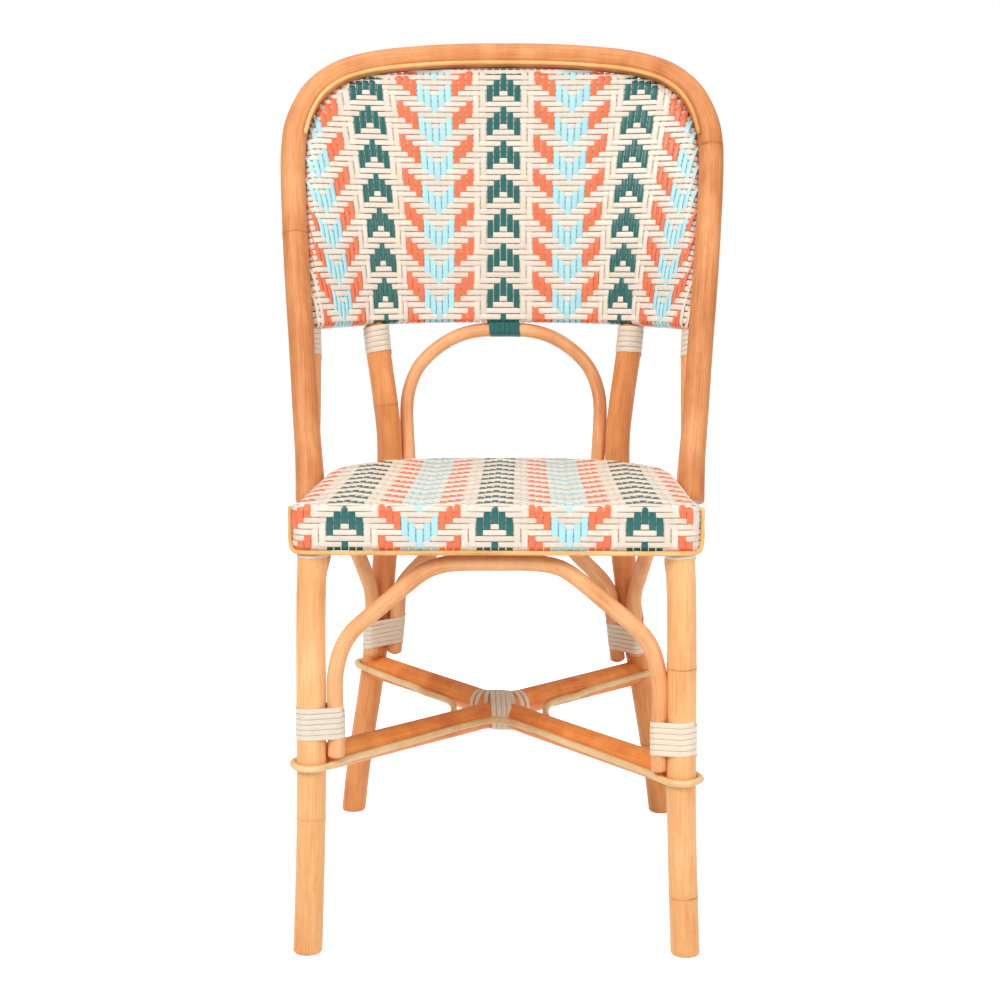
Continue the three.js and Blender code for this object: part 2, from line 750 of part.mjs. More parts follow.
function crossLine(legs, ends, apexY, shift) {
  const spots = {};
  for (const side of sides) {
    const { at } = crossing(legs[side], ends[side]);
    spots[side] = place(at.x, at.y + shift, ends[side]);
  }
  const vertexY = apexY + Math.sign(apexY - spots.left.y) * crossBend;
  const half = (side) => crossArmShares.map((share) => place(
    mix(spots[side].x, 0, share), mix(spots[side].y, vertexY, share), mix(ends[side], crossMiddle, share)));
  return smooth([...half('left'), place(0, apexY, crossMiddle), ...half('right').reverse()]);
}
const crossFront = crossLine(frontLegs, crossEnds, crossFrontBack, crossRearward);
const crossRear = crossLine(rearLegs, crossRearEnds, crossRearBack, 0);

function crossPole(line, radius, spaces) {
  const trimmed = smooth(line.slice(crossTrimSteps, -crossTrimSteps));
  return cut(pole(trimmed, radius, bigSides), Object.values(spaces));
}
add('stretcher_front', crossPole(crossFront, crossFrontRadius, frontSpaces), deepHoney);
add('stretcher_rear', crossPole(crossRear, crossRearRadius, rearSpaces), deepHoney);

// Cane loop: round each leg, and along both sides of the four arms
function armFrame(legs, side, ends, apexY, shift) {
  const { at } = crossing(legs[side], ends[side]);
  const foot = new THREE.Vector2(Math.abs(at.x), at.y + shift);
  const vertex = new THREE.Vector2(0, apexY + Math.sign(apexY - at.y) * crossBend);
  const along = foot.clone().sub(vertex);
  const length = along.length();
  along.divideScalar(length);
  return { vertex, along, length, ahead: new THREE.Vector2(along.y, -along.x), leg: at };
}

const loopFrontShares = [0.25, 0.5, 0.75, 0.88];
const loopInnerShares = [0.99, 0.84, 0.7, 0.5];
const loopRearInnerShares = [0.5, 0.7, 0.86];
const loopRearShares = [0.86, 0.7, 0.5, 0.25];

function loopHalf(side) {
  const way = side === 'left' ? -1 : 1;
  const front = armFrame(frontLegs, side, crossEnds, crossFrontBack, crossRearward);
  const rear = armFrame(rearLegs, side, crossRearEnds, crossRearBack, 0);
  const frontOut = crossFrontRadius + 2 * gap + loopRadius;
  const rearOut = crossRearRadius + 2 * gap + loopRadius;
  const low = loopEnds[side];
  const rearLow = loopRearEnds[side];
  const points = [];
  const beams = (arm, out, shares, end) => {
    for (const share of shares) {
      const spot = arm.vertex.clone().addScaledVector(arm.along, arm.length * share);
      spot.addScaledVector(arm.ahead, out);
      points.push(place(way * spot.x, spot.y, mix(crossMiddle, end, share)));
    }
  };
  const round = (arm, radius, { from, to }, end) => {
    const reach = radius + 2 * gap + loopRadius;
    for (let i = 0; i <= roundSteps; i++) {
      const angle = mix(from, to, i / roundSteps);
      const x = Math.abs(arm.leg.x) + reach * Math.cos(angle);
      points.push(place(way * x, arm.leg.y + reach * Math.sin(angle), end));
    }
  };
  const room = crossLashRoom + stripThick;
  points.push(place(0, crossFrontBack - frontOut - room, crossMiddle));
  beams(front, frontOut, loopFrontShares, low);
  round(front, frontRadius, loopFrontAngles, low);
  beams(front, -frontOut, loopInnerShares, low);
  points.push(place(way * loopTurn, (crossFrontBack + crossRearBack) / 2, crossMiddle));
  beams(rear, rearOut, loopRearInnerShares, rearLow);
  round(rear, rearRadius, loopRearAngles, rearLow);
  beams(rear, -rearOut, loopRearShares, rearLow);
  points.push(place(0, crossRearBack + rearOut + room, crossMiddle));
  return points;
}
const loopPath = smooth([...loopHalf('right'), ...loopHalf('left').slice(1, -1).reverse()], true);
const loopStations = stationsOf(loopPath.slice(0, -1), longestStep);
const loopRings = loopStations.map((station) => ringAt(station, loopRadius, thinSides));
add('stretcher_loop', loft(loopRings, true), paleCane);

// Lashings round each leg with the arch ends beside it, and wraps under the woven back
const archSides = { left: frontArchLine, right: [...frontArchLine].reverse() };
const rearArchSides = { left: rearArchLine, right: [...rearArchLine].reverse() };
for (const side of sides) {
  const sideArch = sideArchLines[side];
  addWinding('lashing_front_' + side, beige, [
    { line: frontLegs[side], radius: frontRadius },
    { line: archSides[side], radius: frontArchRadius },
    { line: [...sideArch].reverse(), radius: lowArchRadius },
  ], 'z', lashFront[side], lashTurns, lashSteps);
  addWinding('lashing_rear_' + side, beige, [
    { line: rearLegs[side], radius: rearRadius },
    { line: sideArch, radius: lowArchRadius },
    { line: rearArchSides[side], radius: lowArchRadius + 2 * gap },
  ], 'z', lashRear[side], lashTurns, lashSteps);
  const upright = [{ line: rearLegs[side], radius: rearRadius }];
  const wrapRise = stripWide / 2 + wrapTurns * stripPitch;
  const uprightWrapLow = backBottom - uprightTaper - wrapRise;
  const hoopWrapLow = backBottom - 2 * gap - wrapRise;
  addWinding('upright_wrap_' + side, beige, upright, 'z', uprightWrapLow, wrapTurns, wrapSteps);
  const rim = side === 'left' ? innerLine : [...innerLine].reverse();
  const rimPole = [{ line: rim, radius: innerRadius }];
  addWinding('hoop_wrap_' + side, beige, rimPole, 'z', hoopWrapLow, wrapTurns, wrapSteps);
}
addWinding('lashing_cross', beige, [
  { line: crossFront, radius: crossFrontRadius + 2 * gap },
  { line: crossRear, radius: crossRearRadius + crossLashSlack },
], 'x', (-crossTurns * stripPitch) / 2, crossTurns, lashSteps);
addWinding('lashing_green', green, [
  { line: midArchLine, radius: midArchRadius },
  { line: backRails.middle, radius: backRailRadius },
], 'x', (-greenTurns * stripPitch) / 2, greenTurns, lashSteps);

// The part stands on the origin, centred in plan
const box = new THREE.Box3().setFromObject(chair);
const middle = box.getCenter(place(0, 0, 0));
for (const mesh of chair.children) mesh.geometry.translate(-middle.x, -middle.y, -box.min.z);

export default chair;
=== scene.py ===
import math

import bmesh
import bpy
import numpy as np
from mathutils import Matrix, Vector


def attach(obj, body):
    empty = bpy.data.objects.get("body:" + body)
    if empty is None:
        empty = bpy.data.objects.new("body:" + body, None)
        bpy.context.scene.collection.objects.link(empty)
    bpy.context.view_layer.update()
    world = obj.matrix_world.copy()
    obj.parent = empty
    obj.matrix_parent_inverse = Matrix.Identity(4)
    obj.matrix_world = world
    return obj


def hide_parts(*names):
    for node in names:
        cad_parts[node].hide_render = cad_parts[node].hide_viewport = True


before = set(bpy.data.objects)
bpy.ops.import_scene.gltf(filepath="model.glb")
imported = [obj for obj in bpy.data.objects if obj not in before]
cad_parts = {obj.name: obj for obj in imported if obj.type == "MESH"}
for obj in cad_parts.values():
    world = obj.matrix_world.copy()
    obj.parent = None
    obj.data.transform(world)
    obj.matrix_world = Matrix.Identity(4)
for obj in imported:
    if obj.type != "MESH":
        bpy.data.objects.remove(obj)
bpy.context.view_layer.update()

# Chair measures below are in mm: x to the right, y back from the front legs' axis, z up from the floor
frameShift = np.array([-0.101, -223.388, 0.0])
sidesOfChair = ("left", "right")

def linear(red, green, blue):
    # colours are noted as screen values from 0 to 255
    channel = lambda v: v / 255 / 12.92 if v < 10.3 else ((v / 255 + 0.055) / 1.055) ** 2.4
    return (channel(red), channel(green), channel(blue), 1.0)

def mirrored(points):
    return [(-x, y, z) for x, y, z in points]

def wholeFromRight(points):
    # the right half runs from the crown down to the foot, or from the middle out
    return mirrored(points)[::-1] + [tuple(p) for p in points[1:]]

def smoothLine(points, step=5.0, closed=False):
    pts = np.asarray(points, float)
    if closed:
        ext = np.vstack([pts[-1], pts, pts[:2]])
    else:
        ext = np.vstack([2 * pts[0] - pts[1], pts, 2 * pts[-1] - pts[-2]])
    pieces = []
    for k in range(1, len(ext) - 2):
        a, b, c, d = ext[k - 1:k + 3]
        t = np.linspace(0, 1, 10, endpoint=False)[:, None]
        pieces.append(0.5 * (2 * b + (c - a) * t + (2 * a - 5 * b + 4 * c - d) * t ** 2
                             + (3 * b - a - 3 * c + d) * t ** 3))
    pieces.append(ext[-2][None])
    fine = np.vstack(pieces)
    length = lengthsAlong(fine)
    target = np.linspace(0, length[-1], max(3, int(round(length[-1] / step))) + 1)
    return readAlong(target, length, fine)

def eased(line, times):
    # every pass takes a little off a bent pole's kinks
    line = line.copy()
    for _ in range(times):
        line[1:-1] = (line[:-2] + 2 * line[1:-1] + line[2:]) / 4
    return line

def lengthsAlong(line):
    return np.concatenate([[0], np.cumsum(np.linalg.norm(np.diff(line, axis=0), axis=1))])

def readAlong(at, length, rows):
    # rows that are known at some lengths along a line, read at others
    return np.column_stack([np.interp(at, length, column) for column in rows.T])

def unit(rows):
    return rows / np.linalg.norm(rows, axis=-1, keepdims=True)

def headings(line, closed=False):
    if closed:
        return unit(np.roll(line[:-1], -1, axis=0) - np.roll(line[:-1], 1, axis=0))[
            np.r_[0:len(line) - 1, 0]]
    return unit(np.gradient(line, axis=0))

def carriedSides(line, seed, closed=False):
    along = headings(line, closed)
    side = np.asarray(seed, float)
    rows = []
    for direction in along:
        side = side - direction * side.dot(direction)
        side = side / np.linalg.norm(side)
        rows.append(side)
    return along, np.array(rows)

def gridMesh(name, runs, around):
    # every run is one grid that is bent round its line, then the grids' long edges are joined
    bm = bmesh.new()
    for run in runs:
        bmesh.ops.create_grid(bm, x_segments=around, y_segments=len(run["rings"]) - 1, size=1)
    mesh = bpy.data.meshes.new(name)
    bm.to_mesh(mesh)
    bm.free()
    flat = np.empty(len(mesh.vertices) * 3)
    mesh.vertices.foreach_get("co", flat)
    flat = flat.reshape(-1, 3)
    place, uvs, nodes, tones = [], [], [], []
    first = 0
    for run in runs:
        rows = len(run["rings"])
        block = flat[first:first + rows * (around + 1)]
        i = np.rint((block[:, 0] + 1) / 2 * around).astype(int)
        j = np.rint((block[:, 1] + 1) / 2 * (rows - 1)).astype(int)
        place.append(run["rings"][j, i])
        uvs.append(np.column_stack([run["across"][i], run["length"][j]]) * 0.001)
        nodes.append(np.column_stack([i / around, run.get("nodes", run["length"] * 0)[j]]))
        tones.append(np.tile(run.get("tone", (1, 1, 1, 1)), (len(i), 1)))
        first += rows * (around + 1)
    mesh.vertices.foreach_set("co", toFrame(np.vstack(place)).ravel())
    corner = np.empty(len(mesh.loops), int)
    mesh.loops.foreach_get("vertex_index", corner)
    for label, values in (("UVMap", np.vstack(uvs)), ("Nodes", np.vstack(nodes))):
        layer = mesh.uv_layers.new(name=label)
        layer.data.foreach_set("uv", values[corner].ravel())
    tone = mesh.color_attributes.new(name="tone", type="FLOAT_COLOR", domain="POINT")
    tone.data.foreach_set("color", np.vstack(tones).ravel())
    bm = bmesh.new()
    bm.from_mesh(mesh)
    bmesh.ops.remove_doubles(bm, verts=bm.verts, dist=0.000002)
    bmesh.ops.holes_fill(bm, edges=[e for e in bm.edges if e.is_boundary], sides=0)
    bmesh.ops.recalc_face_normals(bm, faces=bm.faces)
    for face in bm.faces:
        face.smooth = len(face.verts) == 4
    bm.to_mesh(mesh)
    bm.free()
    piece = bpy.data.objects.new(name, mesh)
    bpy.context.scene.collection.objects.link(piece)
    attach(piece, "root")
    return piece

def toFrame(points):
    return (np.asarray(points, float) + frameShift) * 0.001

# poles swell at their nodes and waver a little in thickness
poleShape = {
    "nodeReach": 130.0, "swell": 0.3, "swellLength": 4.5,
    "waver": 0.1, "waverLength": 37.0,
}

def nodeCounts(line, length, spots):
    # the count passes a whole number at each node of the cane
    marks = sorted(length[np.argmin(np.linalg.norm(line - np.array(spot), axis=1))] for spot in spots)
    if not marks:
        return np.full(len(length), 0.5), []
    places = [marks[0] - poleShape["nodeReach"]] + marks + [marks[-1] + poleShape["nodeReach"]]
    counts = [0.5] + list(range(1, len(marks) + 1)) + [len(marks) + 0.5]
    return np.interp(length, places, counts), marks

def tubeRun(line, radius, around, seam, spots=(), closed=False, rounded=1.2, radii=None):
    # a round pole: swollen a little at its nodes and eased at its cut ends
    along, side = carriedSides(line, seam, closed)
    up = np.cross(along, side)
    length = lengthsAlong(line)
    counts, marks = nodeCounts(line, length, spots)
    size = np.full(len(line), float(radius)) if radii is None else np.asarray(radii, float).copy()
    for mark in marks:
        size += poleShape["swell"] * np.exp(-((length - mark) / poleShape["swellLength"]) ** 2)
    size += poleShape["waver"] * np.sin(length / poleShape["waverLength"] + radius)
    if rounded and not closed:
        size[0] -= rounded
        size[-1] -= rounded
    turn = 2 * math.pi * np.arange(around + 1) / around
    rings = (line[:, None] + size[:, None, None] * (np.cos(turn)[None, :, None] * side[:, None]
                                                   + np.sin(turn)[None, :, None] * up[:, None]))
    return {"rings": rings, "across": turn * radius, "length": length, "nodes": counts}

def withEnds(line, ease=1.0):
    # one more station close to each end, for its eased edge
    first = line[0] + unit(line[1] - line[0]) * ease
    last = line[-1] + unit(line[-2] - line[-1]) * ease
    return np.vstack([line[0], first, line[1:-1], last, line[-1]])

# Materials

def material(name):
    made = bpy.data.materials.new(name)
    made.use_nodes = True
    tree = made.node_tree
    tree.nodes.clear()
    output = tree.nodes.new("ShaderNodeOutputMaterial")
    surface = tree.nodes.new("ShaderNodeBsdfPrincipled")
    tree.links.new(surface.outputs["BSDF"], output.inputs["Surface"])
    return made, tree, surface

def node(tree, kind, inputs=None, **settings):
    made = tree.nodes.new(kind)
    for key, value in settings.items():
        setattr(made, key, value)
    for key, value in (inputs or {}).items():
        if isinstance(value, bpy.types.NodeSocket):
            tree.links.new(value, made.inputs[key])
        else:
            made.inputs[key].default_value = value
    return made

def ramp(tree, factor, stops):
    made = node(tree, "ShaderNodeValToRGB", {"Fac": factor})
    elements = made.color_ramp.elements
    while len(elements) < len(stops):
        elements.new(0.5)
    for element, (position, colour) in zip(elements, stops):
        element.position = position
        element.color = colour
    return made.outputs["Color"]

def mixed(tree, factor, first, second, blend="MIX"):
    made = node(tree, "ShaderNodeMix", data_type="RGBA", blend_type=blend)
    for key, value in (("Factor", factor), ("A", first), ("B", second)):
        socket = [s for s in made.inputs if s.name == key and (key == "Factor" or s.type == "RGBA")][0]
        if isinstance(value, bpy.types.NodeSocket):
            tree.links.new(value, socket)
        else:
            socket.default_value = value
    return [s for s in made.outputs if s.type == "RGBA"][0]

def maths(tree, operation, first, second=0.0, third=0.0):
    made = node(tree, "ShaderNodeMath", {0: first, 1: second, 2: third}, operation=operation)
    return made.outputs[0]

def stretchedNoise(tree, coordinate, scale, detail=3.0, rough=0.55):
    mapping = node(tree, "ShaderNodeMapping", {"Vector": coordinate, "Scale": scale})
    made = node(tree, "ShaderNodeTexNoise", {"Vector": mapping.outputs[0], "Scale": 1.0,
                                             "Detail": detail, "Roughness": rough})
    return made.outputs["Fac"]

caneLook = {
    "specular": 0.24, "roughness": 0.32, "roughChange": 0.18, "bump": 0.22, "bumpDepth": 0.0006,
    "fibres": (620, 16, 1), "clouds": (9, 9, 5), "blotches": (38, 38, 15), "flecks": (900, 95, 1),
    "fibreShare": 0.35, "cloudShare": 0.35, "blotchShare": 0.3, "fleckShare": 0.16, "haloShare": 0.18,
}

def poleMaterial(name, pale, middle, dark, ringColour):
    # cane pole: long fibres, cloudy heartwood, fine dark flecks and a thin ring at each node
    made, tree, surface = material(name)
    surface.inputs["Specular IOR Level"].default_value = caneLook["specular"]
    uv = node(tree, "ShaderNodeUVMap", uv_map="UVMap").outputs[0]
    counts = node(tree, "ShaderNodeUVMap", uv_map="Nodes").outputs[0]
    where = node(tree, "ShaderNodeTexCoord").outputs["Object"]
    fibres = stretchedNoise(tree, uv, caneLook["fibres"], 4.0, 0.6)
    cloud = stretchedNoise(tree, where, caneLook["clouds"], 3.0, 0.5)
    blotch = stretchedNoise(tree, where, caneLook["blotches"], 3.0, 0.6)
    tint = maths(tree, "ADD", maths(tree, "MULTIPLY", cloud, caneLook["cloudShare"]),
                 maths(tree, "MULTIPLY", blotch, caneLook["blotchShare"]))
    tint = maths(tree, "ADD", maths(tree, "MULTIPLY", fibres, caneLook["fibreShare"]), tint)
    colour = ramp(tree, tint, [(0.37, dark), (0.5, middle), (0.62, pale)])
    flecks = stretchedNoise(tree, uv, caneLook["flecks"], 1.0, 0.3)
    fleck = ramp(tree, flecks, [(0.66, (0, 0, 0, 1)), (0.74, (1, 1, 1, 1))])
    colour = mixed(tree, maths(tree, "MULTIPLY", fleck, caneLook["fleckShare"]), colour, ringColour)
    count = node(tree, "ShaderNodeSeparateXYZ", {0: counts}).outputs["Y"]
    wobble = maths(tree, "MULTIPLY", stretchedNoise(tree, where, (60, 60, 60), 2.0), 0.006)
    away = maths(tree, "PINGPONG", maths(tree, "ADD", count, wobble), 0.5)
    ring = ramp(tree, maths(tree, "MULTIPLY", away, 100), [(0.12, (1, 1, 1, 1)), (0.42, (0, 0, 0, 1))])
    halo = ramp(tree, maths(tree, "MULTIPLY", away, 14), [(0.0, (1, 1, 1, 1)), (0.6, (0, 0, 0, 1))])
    colour = mixed(tree, maths(tree, "MULTIPLY", halo, caneLook["haloShare"]), colour, dark)
    patchy = ramp(tree, stretchedNoise(tree, where, (40, 40, 14), 2.0), [(0.4, (0.12, 0.12, 0.12, 1)),
                                                                       (0.62, (0.6, 0.6, 0.6, 1))])
    colour = mixed(tree, maths(tree, "MULTIPLY", ring, patchy), colour, ringColour)
    tree.links.new(colour, surface.inputs["Base Color"])
    gloss = maths(tree, "MULTIPLY_ADD", fibres, caneLook["roughChange"], caneLook["roughness"])
    tree.links.new(gloss, surface.inputs["Roughness"])
    height = maths(tree, "SUBTRACT", maths(tree, "MULTIPLY", fibres, 0.35), ring)
    bump = node(tree, "ShaderNodeBump", {"Height": height, "Strength": caneLook["bump"],
                                         "Distance": caneLook["bumpDepth"]})
    tree.links.new(bump.outputs[0], surface.inputs["Normal"])
    return made

strandLook = {
    "specular": 0.35, "coat": 0.35, "coatRoughness": 0.28, "roughChange": 0.25,
    "streaks": (1500, 28, 1), "patches": (140, 90, 1), "grooveShade": (0.25, 0.14, 0.06, 1), "grooveShadeShare": 0.03,
    "bump": 0.25, "bumpDepth": 0.0003,
}

def strandMaterial(name, ribCount, width, roughness, ribs):
    # flat strand: its colour comes from the tone attribute, with fine ribs and streaks along it and painted
    # shade in the grooves between the ribs
    made, tree, surface = material(name)
    surface.inputs["Specular IOR Level"].default_value = strandLook["specular"]
    surface.inputs["Coat Weight"].default_value = strandLook["coat"]
    surface.inputs["Coat Roughness"].default_value = strandLook["coatRoughness"]
    tone = node(tree, "ShaderNodeAttribute", attribute_name="tone").outputs["Color"]
    uv = node(tree, "ShaderNodeUVMap", uv_map="UVMap").outputs[0]
    across = node(tree, "ShaderNodeSeparateXYZ", {0: uv}).outputs["X"]
    wave = maths(tree, "SINE", maths(tree, "MULTIPLY", across, 2 * math.pi * ribCount / (width * 0.001)))
    streaks = stretchedNoise(tree, uv, strandLook["streaks"], 3.0, 0.6)
    patches = stretchedNoise(tree, uv, strandLook["patches"], 2.0, 0.5)
    shade = maths(tree, "ADD", maths(tree, "MULTIPLY", streaks, 0.26), maths(tree, "MULTIPLY", patches, 0.14))
    light = ramp(tree, shade, [(0.1, (0.78, 0.76, 0.74, 1)), (0.2, (0.97, 0.965, 0.96, 1)),
                               (0.32, (1.0, 1.0, 1.0, 1))])
    colour = mixed(tree, 1.0, tone, light, "MULTIPLY")
    # painted shade: the grooves between the ribs are darkened towards dark brown
    grooveShade = maths(tree, "MULTIPLY", maths(tree, "SUBTRACT", 1.0, wave), strandLook["grooveShadeShare"] * ribs)
    colour = mixed(tree, grooveShade, colour, strandLook["grooveShade"])
    tree.links.new(colour, surface.inputs["Base Color"])
    gloss = maths(tree, "MULTIPLY_ADD", streaks, strandLook["roughChange"], roughness)
    tree.links.new(gloss, surface.inputs["Roughness"])
    height = maths(tree, "ADD", maths(tree, "MULTIPLY", wave, 0.5), maths(tree, "MULTIPLY", streaks, 0.8))
    bump = node(tree, "ShaderNodeBump", {"Height": height, "Strength": strandLook["bump"] * ribs,
                                         "Distance": strandLook["bumpDepth"]})
    tree.links.new(bump.outputs[0], surface.inputs["Normal"])
    return made

finishes = {  # pale, middle and dark cane, then the rings at its nodes
    "honey": [(253, 204, 146), (245, 182, 120), (226, 150, 90), (140, 78, 38)],
    # the next finish is the arches' cane made darker, painted shade for the outer hoop
    "russet_shaded": [(236, 168, 112), (219, 143, 88), (192, 113, 62), (112, 55, 24)],
    "amber": [(254, 198, 144), (242, 175, 120), (220, 144, 90), (120, 62, 28)],
    # the next finish is the front legs' cane made darker, painted shade for the back legs
    "umber_shaded": [(248, 178, 114), (236, 156, 95), (210, 126, 69), (112, 55, 24)],
    "deep": [(255, 170, 97), (243, 148, 77), (214, 115, 52), (96, 44, 18)],
    "core": [(247, 218, 168), (238, 204, 150), (216, 174, 116), (170, 120, 70)],
    "split": [(250, 206, 142), (238, 182, 114), (210, 144, 80), (140, 80, 36)],
}
poleFinish = {key: poleMaterial("cane_" + key, *[linear(*colour) for colour in colours])
              for key, colours in finishes.items()}
strandFinish = strandMaterial("woven_strand", 5, 7.0, roughness=0.3, ribs=0.5)
stripFinish = strandMaterial("binding_strip", 3, 4.7, roughness=0.24, ribs=0.9)
print("materials made")

def dressed(piece, finish, slot, *hides):
    # a piece gets its finish, and the solids it stands for are hidden
    piece.data.materials.append(finish)
    for hidden in hides:
        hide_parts(hidden)

def addPole(name, line, radius, finish="amber", slot="rattan_pole", spots=(), seam=(0, 1, 0),
            around=28, **shape):
    run = tubeRun(line, radius, around, seam, spots, **shape)
    dressed(gridMesh(name + "_smooth", [run], around), poleFinish[finish], slot, name)

# Legs
legs = {
    "frontRadius": 14.4,
    "rearRadius": 14.0,
    "upperRadius": 9.0,
    "taper": (588.0, 590.5),
    "extraHeights": (587.7, 588.0, 590.5),
    "around": 32, "ease": 1.5, "rounded": 1.3,
    "outwards": {"left": [(0, 3), (150, 2.5), (250, 1), (320, 0)],
                 "right": [(0, 8), (200, 8.5), (270, 6.5), (400, 3.8), (600, 3.8), (680, 0)]},
    "frontLine": [
        (186.3, 0, 0), (184.3, 0, 44.6), (182.5, 0, 89.3), (181, 0, 133.9), (180, 0, 178.6),
        (179.6, 0, 223.2), (179.1, 0, 267.9), (178.6, 0, 312.6), (177.7, 0, 357.2), (175.9, 0, 401.9),
        (175.9, 0, 446.5)
    ],
    "rearLine": [
        (183, 455, 0), (177.1, 447.5, 45.9), (170, 438.3, 91.3), (161.7, 427.7, 138.5),
        (154, 417.8, 183.6), (146.7, 408.5, 229), (140.4, 400.5, 274.8), (134.9, 393.5, 323.1),
        (130.7, 388.1, 369.4), (128.7, 385.5, 416.1), (128.3, 385.2, 463), (133.1, 387.3, 509.5),
        (139.7, 390.5, 558), (143.8, 395.6, 604.4), (144.1, 403.9, 650.6), (144.7, 411.6, 696.8),
        (145.5, 419.2, 745.2), (146.3, 426, 791.6), (147, 432.8, 838)
    ],
    "frontNodes": {"left": (136,), "right": (287, 62)},
    "rearNodes": {"left": (501, 690), "right": (95,)},
}

def mirrorFor(side, points):
    return points if side == "right" else mirrored(points)

def atHeights(line, heights):
    # more stations at given heights on a line that only climbs
    levels = np.unique(np.concatenate([line[:, 2], heights]))
    return np.column_stack([np.interp(levels, line[:, 2], line[:, k]) for k in (0, 1)] + [levels])

frontLegs, rearLegs = {}, {}
for side in sidesOfChair:
    frontLegs[side] = smoothLine(mirrorFor(side, legs["frontLine"]), 6)
    rearLegs[side] = atHeights(smoothLine(mirrorFor(side, legs["rearLine"]), 6), legs["extraHeights"])
    rearLegs[side][:, 0] += np.interp(rearLegs[side][:, 2], *zip(*legs["outwards"][side]))

def spotsAt(line, heights):
    return [line[np.argmin(abs(line[:, 2] - height))] for height in heights]

def legPiece(name, line, radius, heights, finish, radii=None):
    run = tubeRun(withEnds(line, legs["ease"]), radius, legs["around"], (0, 1, 0), spotsAt(line, heights),
                  radii=radii, rounded=legs["rounded"])
    run["rings"][0, :, 2] = 0.0  # the two lowest rings lie level
    run["rings"][1, :, 2] = legs["ease"]
    dressed(gridMesh(name + "_smooth", [run], legs["around"]), poleFinish[finish], "rattan_pole", name)

for side in sidesOfChair:
    legPiece("front_leg_" + side, frontLegs[side], legs["frontRadius"], legs["frontNodes"][side], "honey")
    line = rearLegs[side]
    radii = np.interp(withEnds(line, legs["ease"])[:, 2], legs["taper"],
                      [legs["rearRadius"], legs["upperRadius"]])
    # the back legs take the darker finish, painted shade
    legPiece("back_leg_" + side, line, legs["rearRadius"], legs["rearNodes"][side], "umber_shaded", radii)
print("legs made")

# Hoops
hoops = {
    "outerRadius": 13.97,
    "narrowed": 0.998,
    "innerOut": 5.2, "outHeights": (430, 480, 585, 640),
    "innerRadius": 9.0,
    "outerHalf": [
        (0, 440, 890.6), (28.2, 440, 890.6), (52.9, 439.8, 890.1), (81, 439.3, 888.9),
        (109.1, 438.4, 886.8), (133.6, 437.3, 884.2), (161.2, 435, 878.9), (187.4, 431.1, 869.6),
        (209.3, 424.2, 853.4), (222.4, 416.1, 834.3), (231.5, 405.6, 809.8), (233.9, 394.7, 784),
        (233.6, 385, 761.3), (232.2, 374, 735.4), (230.3, 363.1, 709.6), (228.5, 353.4, 686.8),
        (226.3, 342.4, 660.9), (223.9, 331.4, 635.1), (221.7, 321.8, 612.5), (219.1, 310.8, 586.6),
        (216.8, 299.8, 560.8), (214.6, 288.8, 534.9), (212.6, 279.2, 512.3), (210.1, 268.2, 486.4),
        (207.6, 257.2, 460.5), (206.3, 247.6, 437.9), (205.4, 236.6, 412)
    ],
    "innerHalf": [
        (0, 439, 863.9), (26.3, 439, 863.9), (49.1, 438.9, 863.6), (75.3, 438.6, 862.6),
        (101.4, 437.9, 860.8), (124.2, 436.9, 858.7), (150, 434.9, 854.5), (174.7, 431.3, 846.6),
        (193.7, 424.6, 830.5), (203.5, 416.7, 811.3), (208.9, 407.1, 787.6), (210.2, 397.9, 763.2),
        (210.3, 389.9, 741.7), (209.8, 380.7, 717.1), (209, 371.6, 692.6), (208.2, 363.5, 671.2),
        (207.1, 354.3, 646.7), (205.9, 345.2, 622.1), (204.5, 337.3, 600.7), (203, 328.3, 576.1),
        (201.7, 319.3, 552.3), (201.1, 309.6, 527.4), (200.7, 301.2, 505.9), (200.5, 291.5, 481.5),
        (200.2, 281.6, 456.8), (200, 273.1, 436), (199.9, 262.7, 412)
    ],
    "outerNodes": [(-228.5, 690), (233, 786)],
}
outerLine = smoothLine(wholeFromRight(hoops["outerHalf"]), 6)
outerLine[:, 0] *= hoops["narrowed"]
innerLine = smoothLine(wholeFromRight(hoops["innerHalf"]), 6)
innerLine[:, 0] += (np.sign(innerLine[:, 0]) * hoops["innerOut"]
                    * np.interp(innerLine[:, 2], hoops["outHeights"], [0, 1, 1, 0]))
outerSpots = [outerLine[np.argmin(abs(outerLine[:, 0] - x) + abs(outerLine[:, 2] - z))]
              for x, z in hoops["outerNodes"]]
# the outer hoop takes the darker finish, painted shade
addPole("outer_hoop", withEnds(outerLine), hoops["outerRadius"], "russet_shaded", spots=outerSpots, around=36)
addPole("inner_hoop", withEnds(innerLine), hoops["innerRadius"], around=24)
print("hoops made")

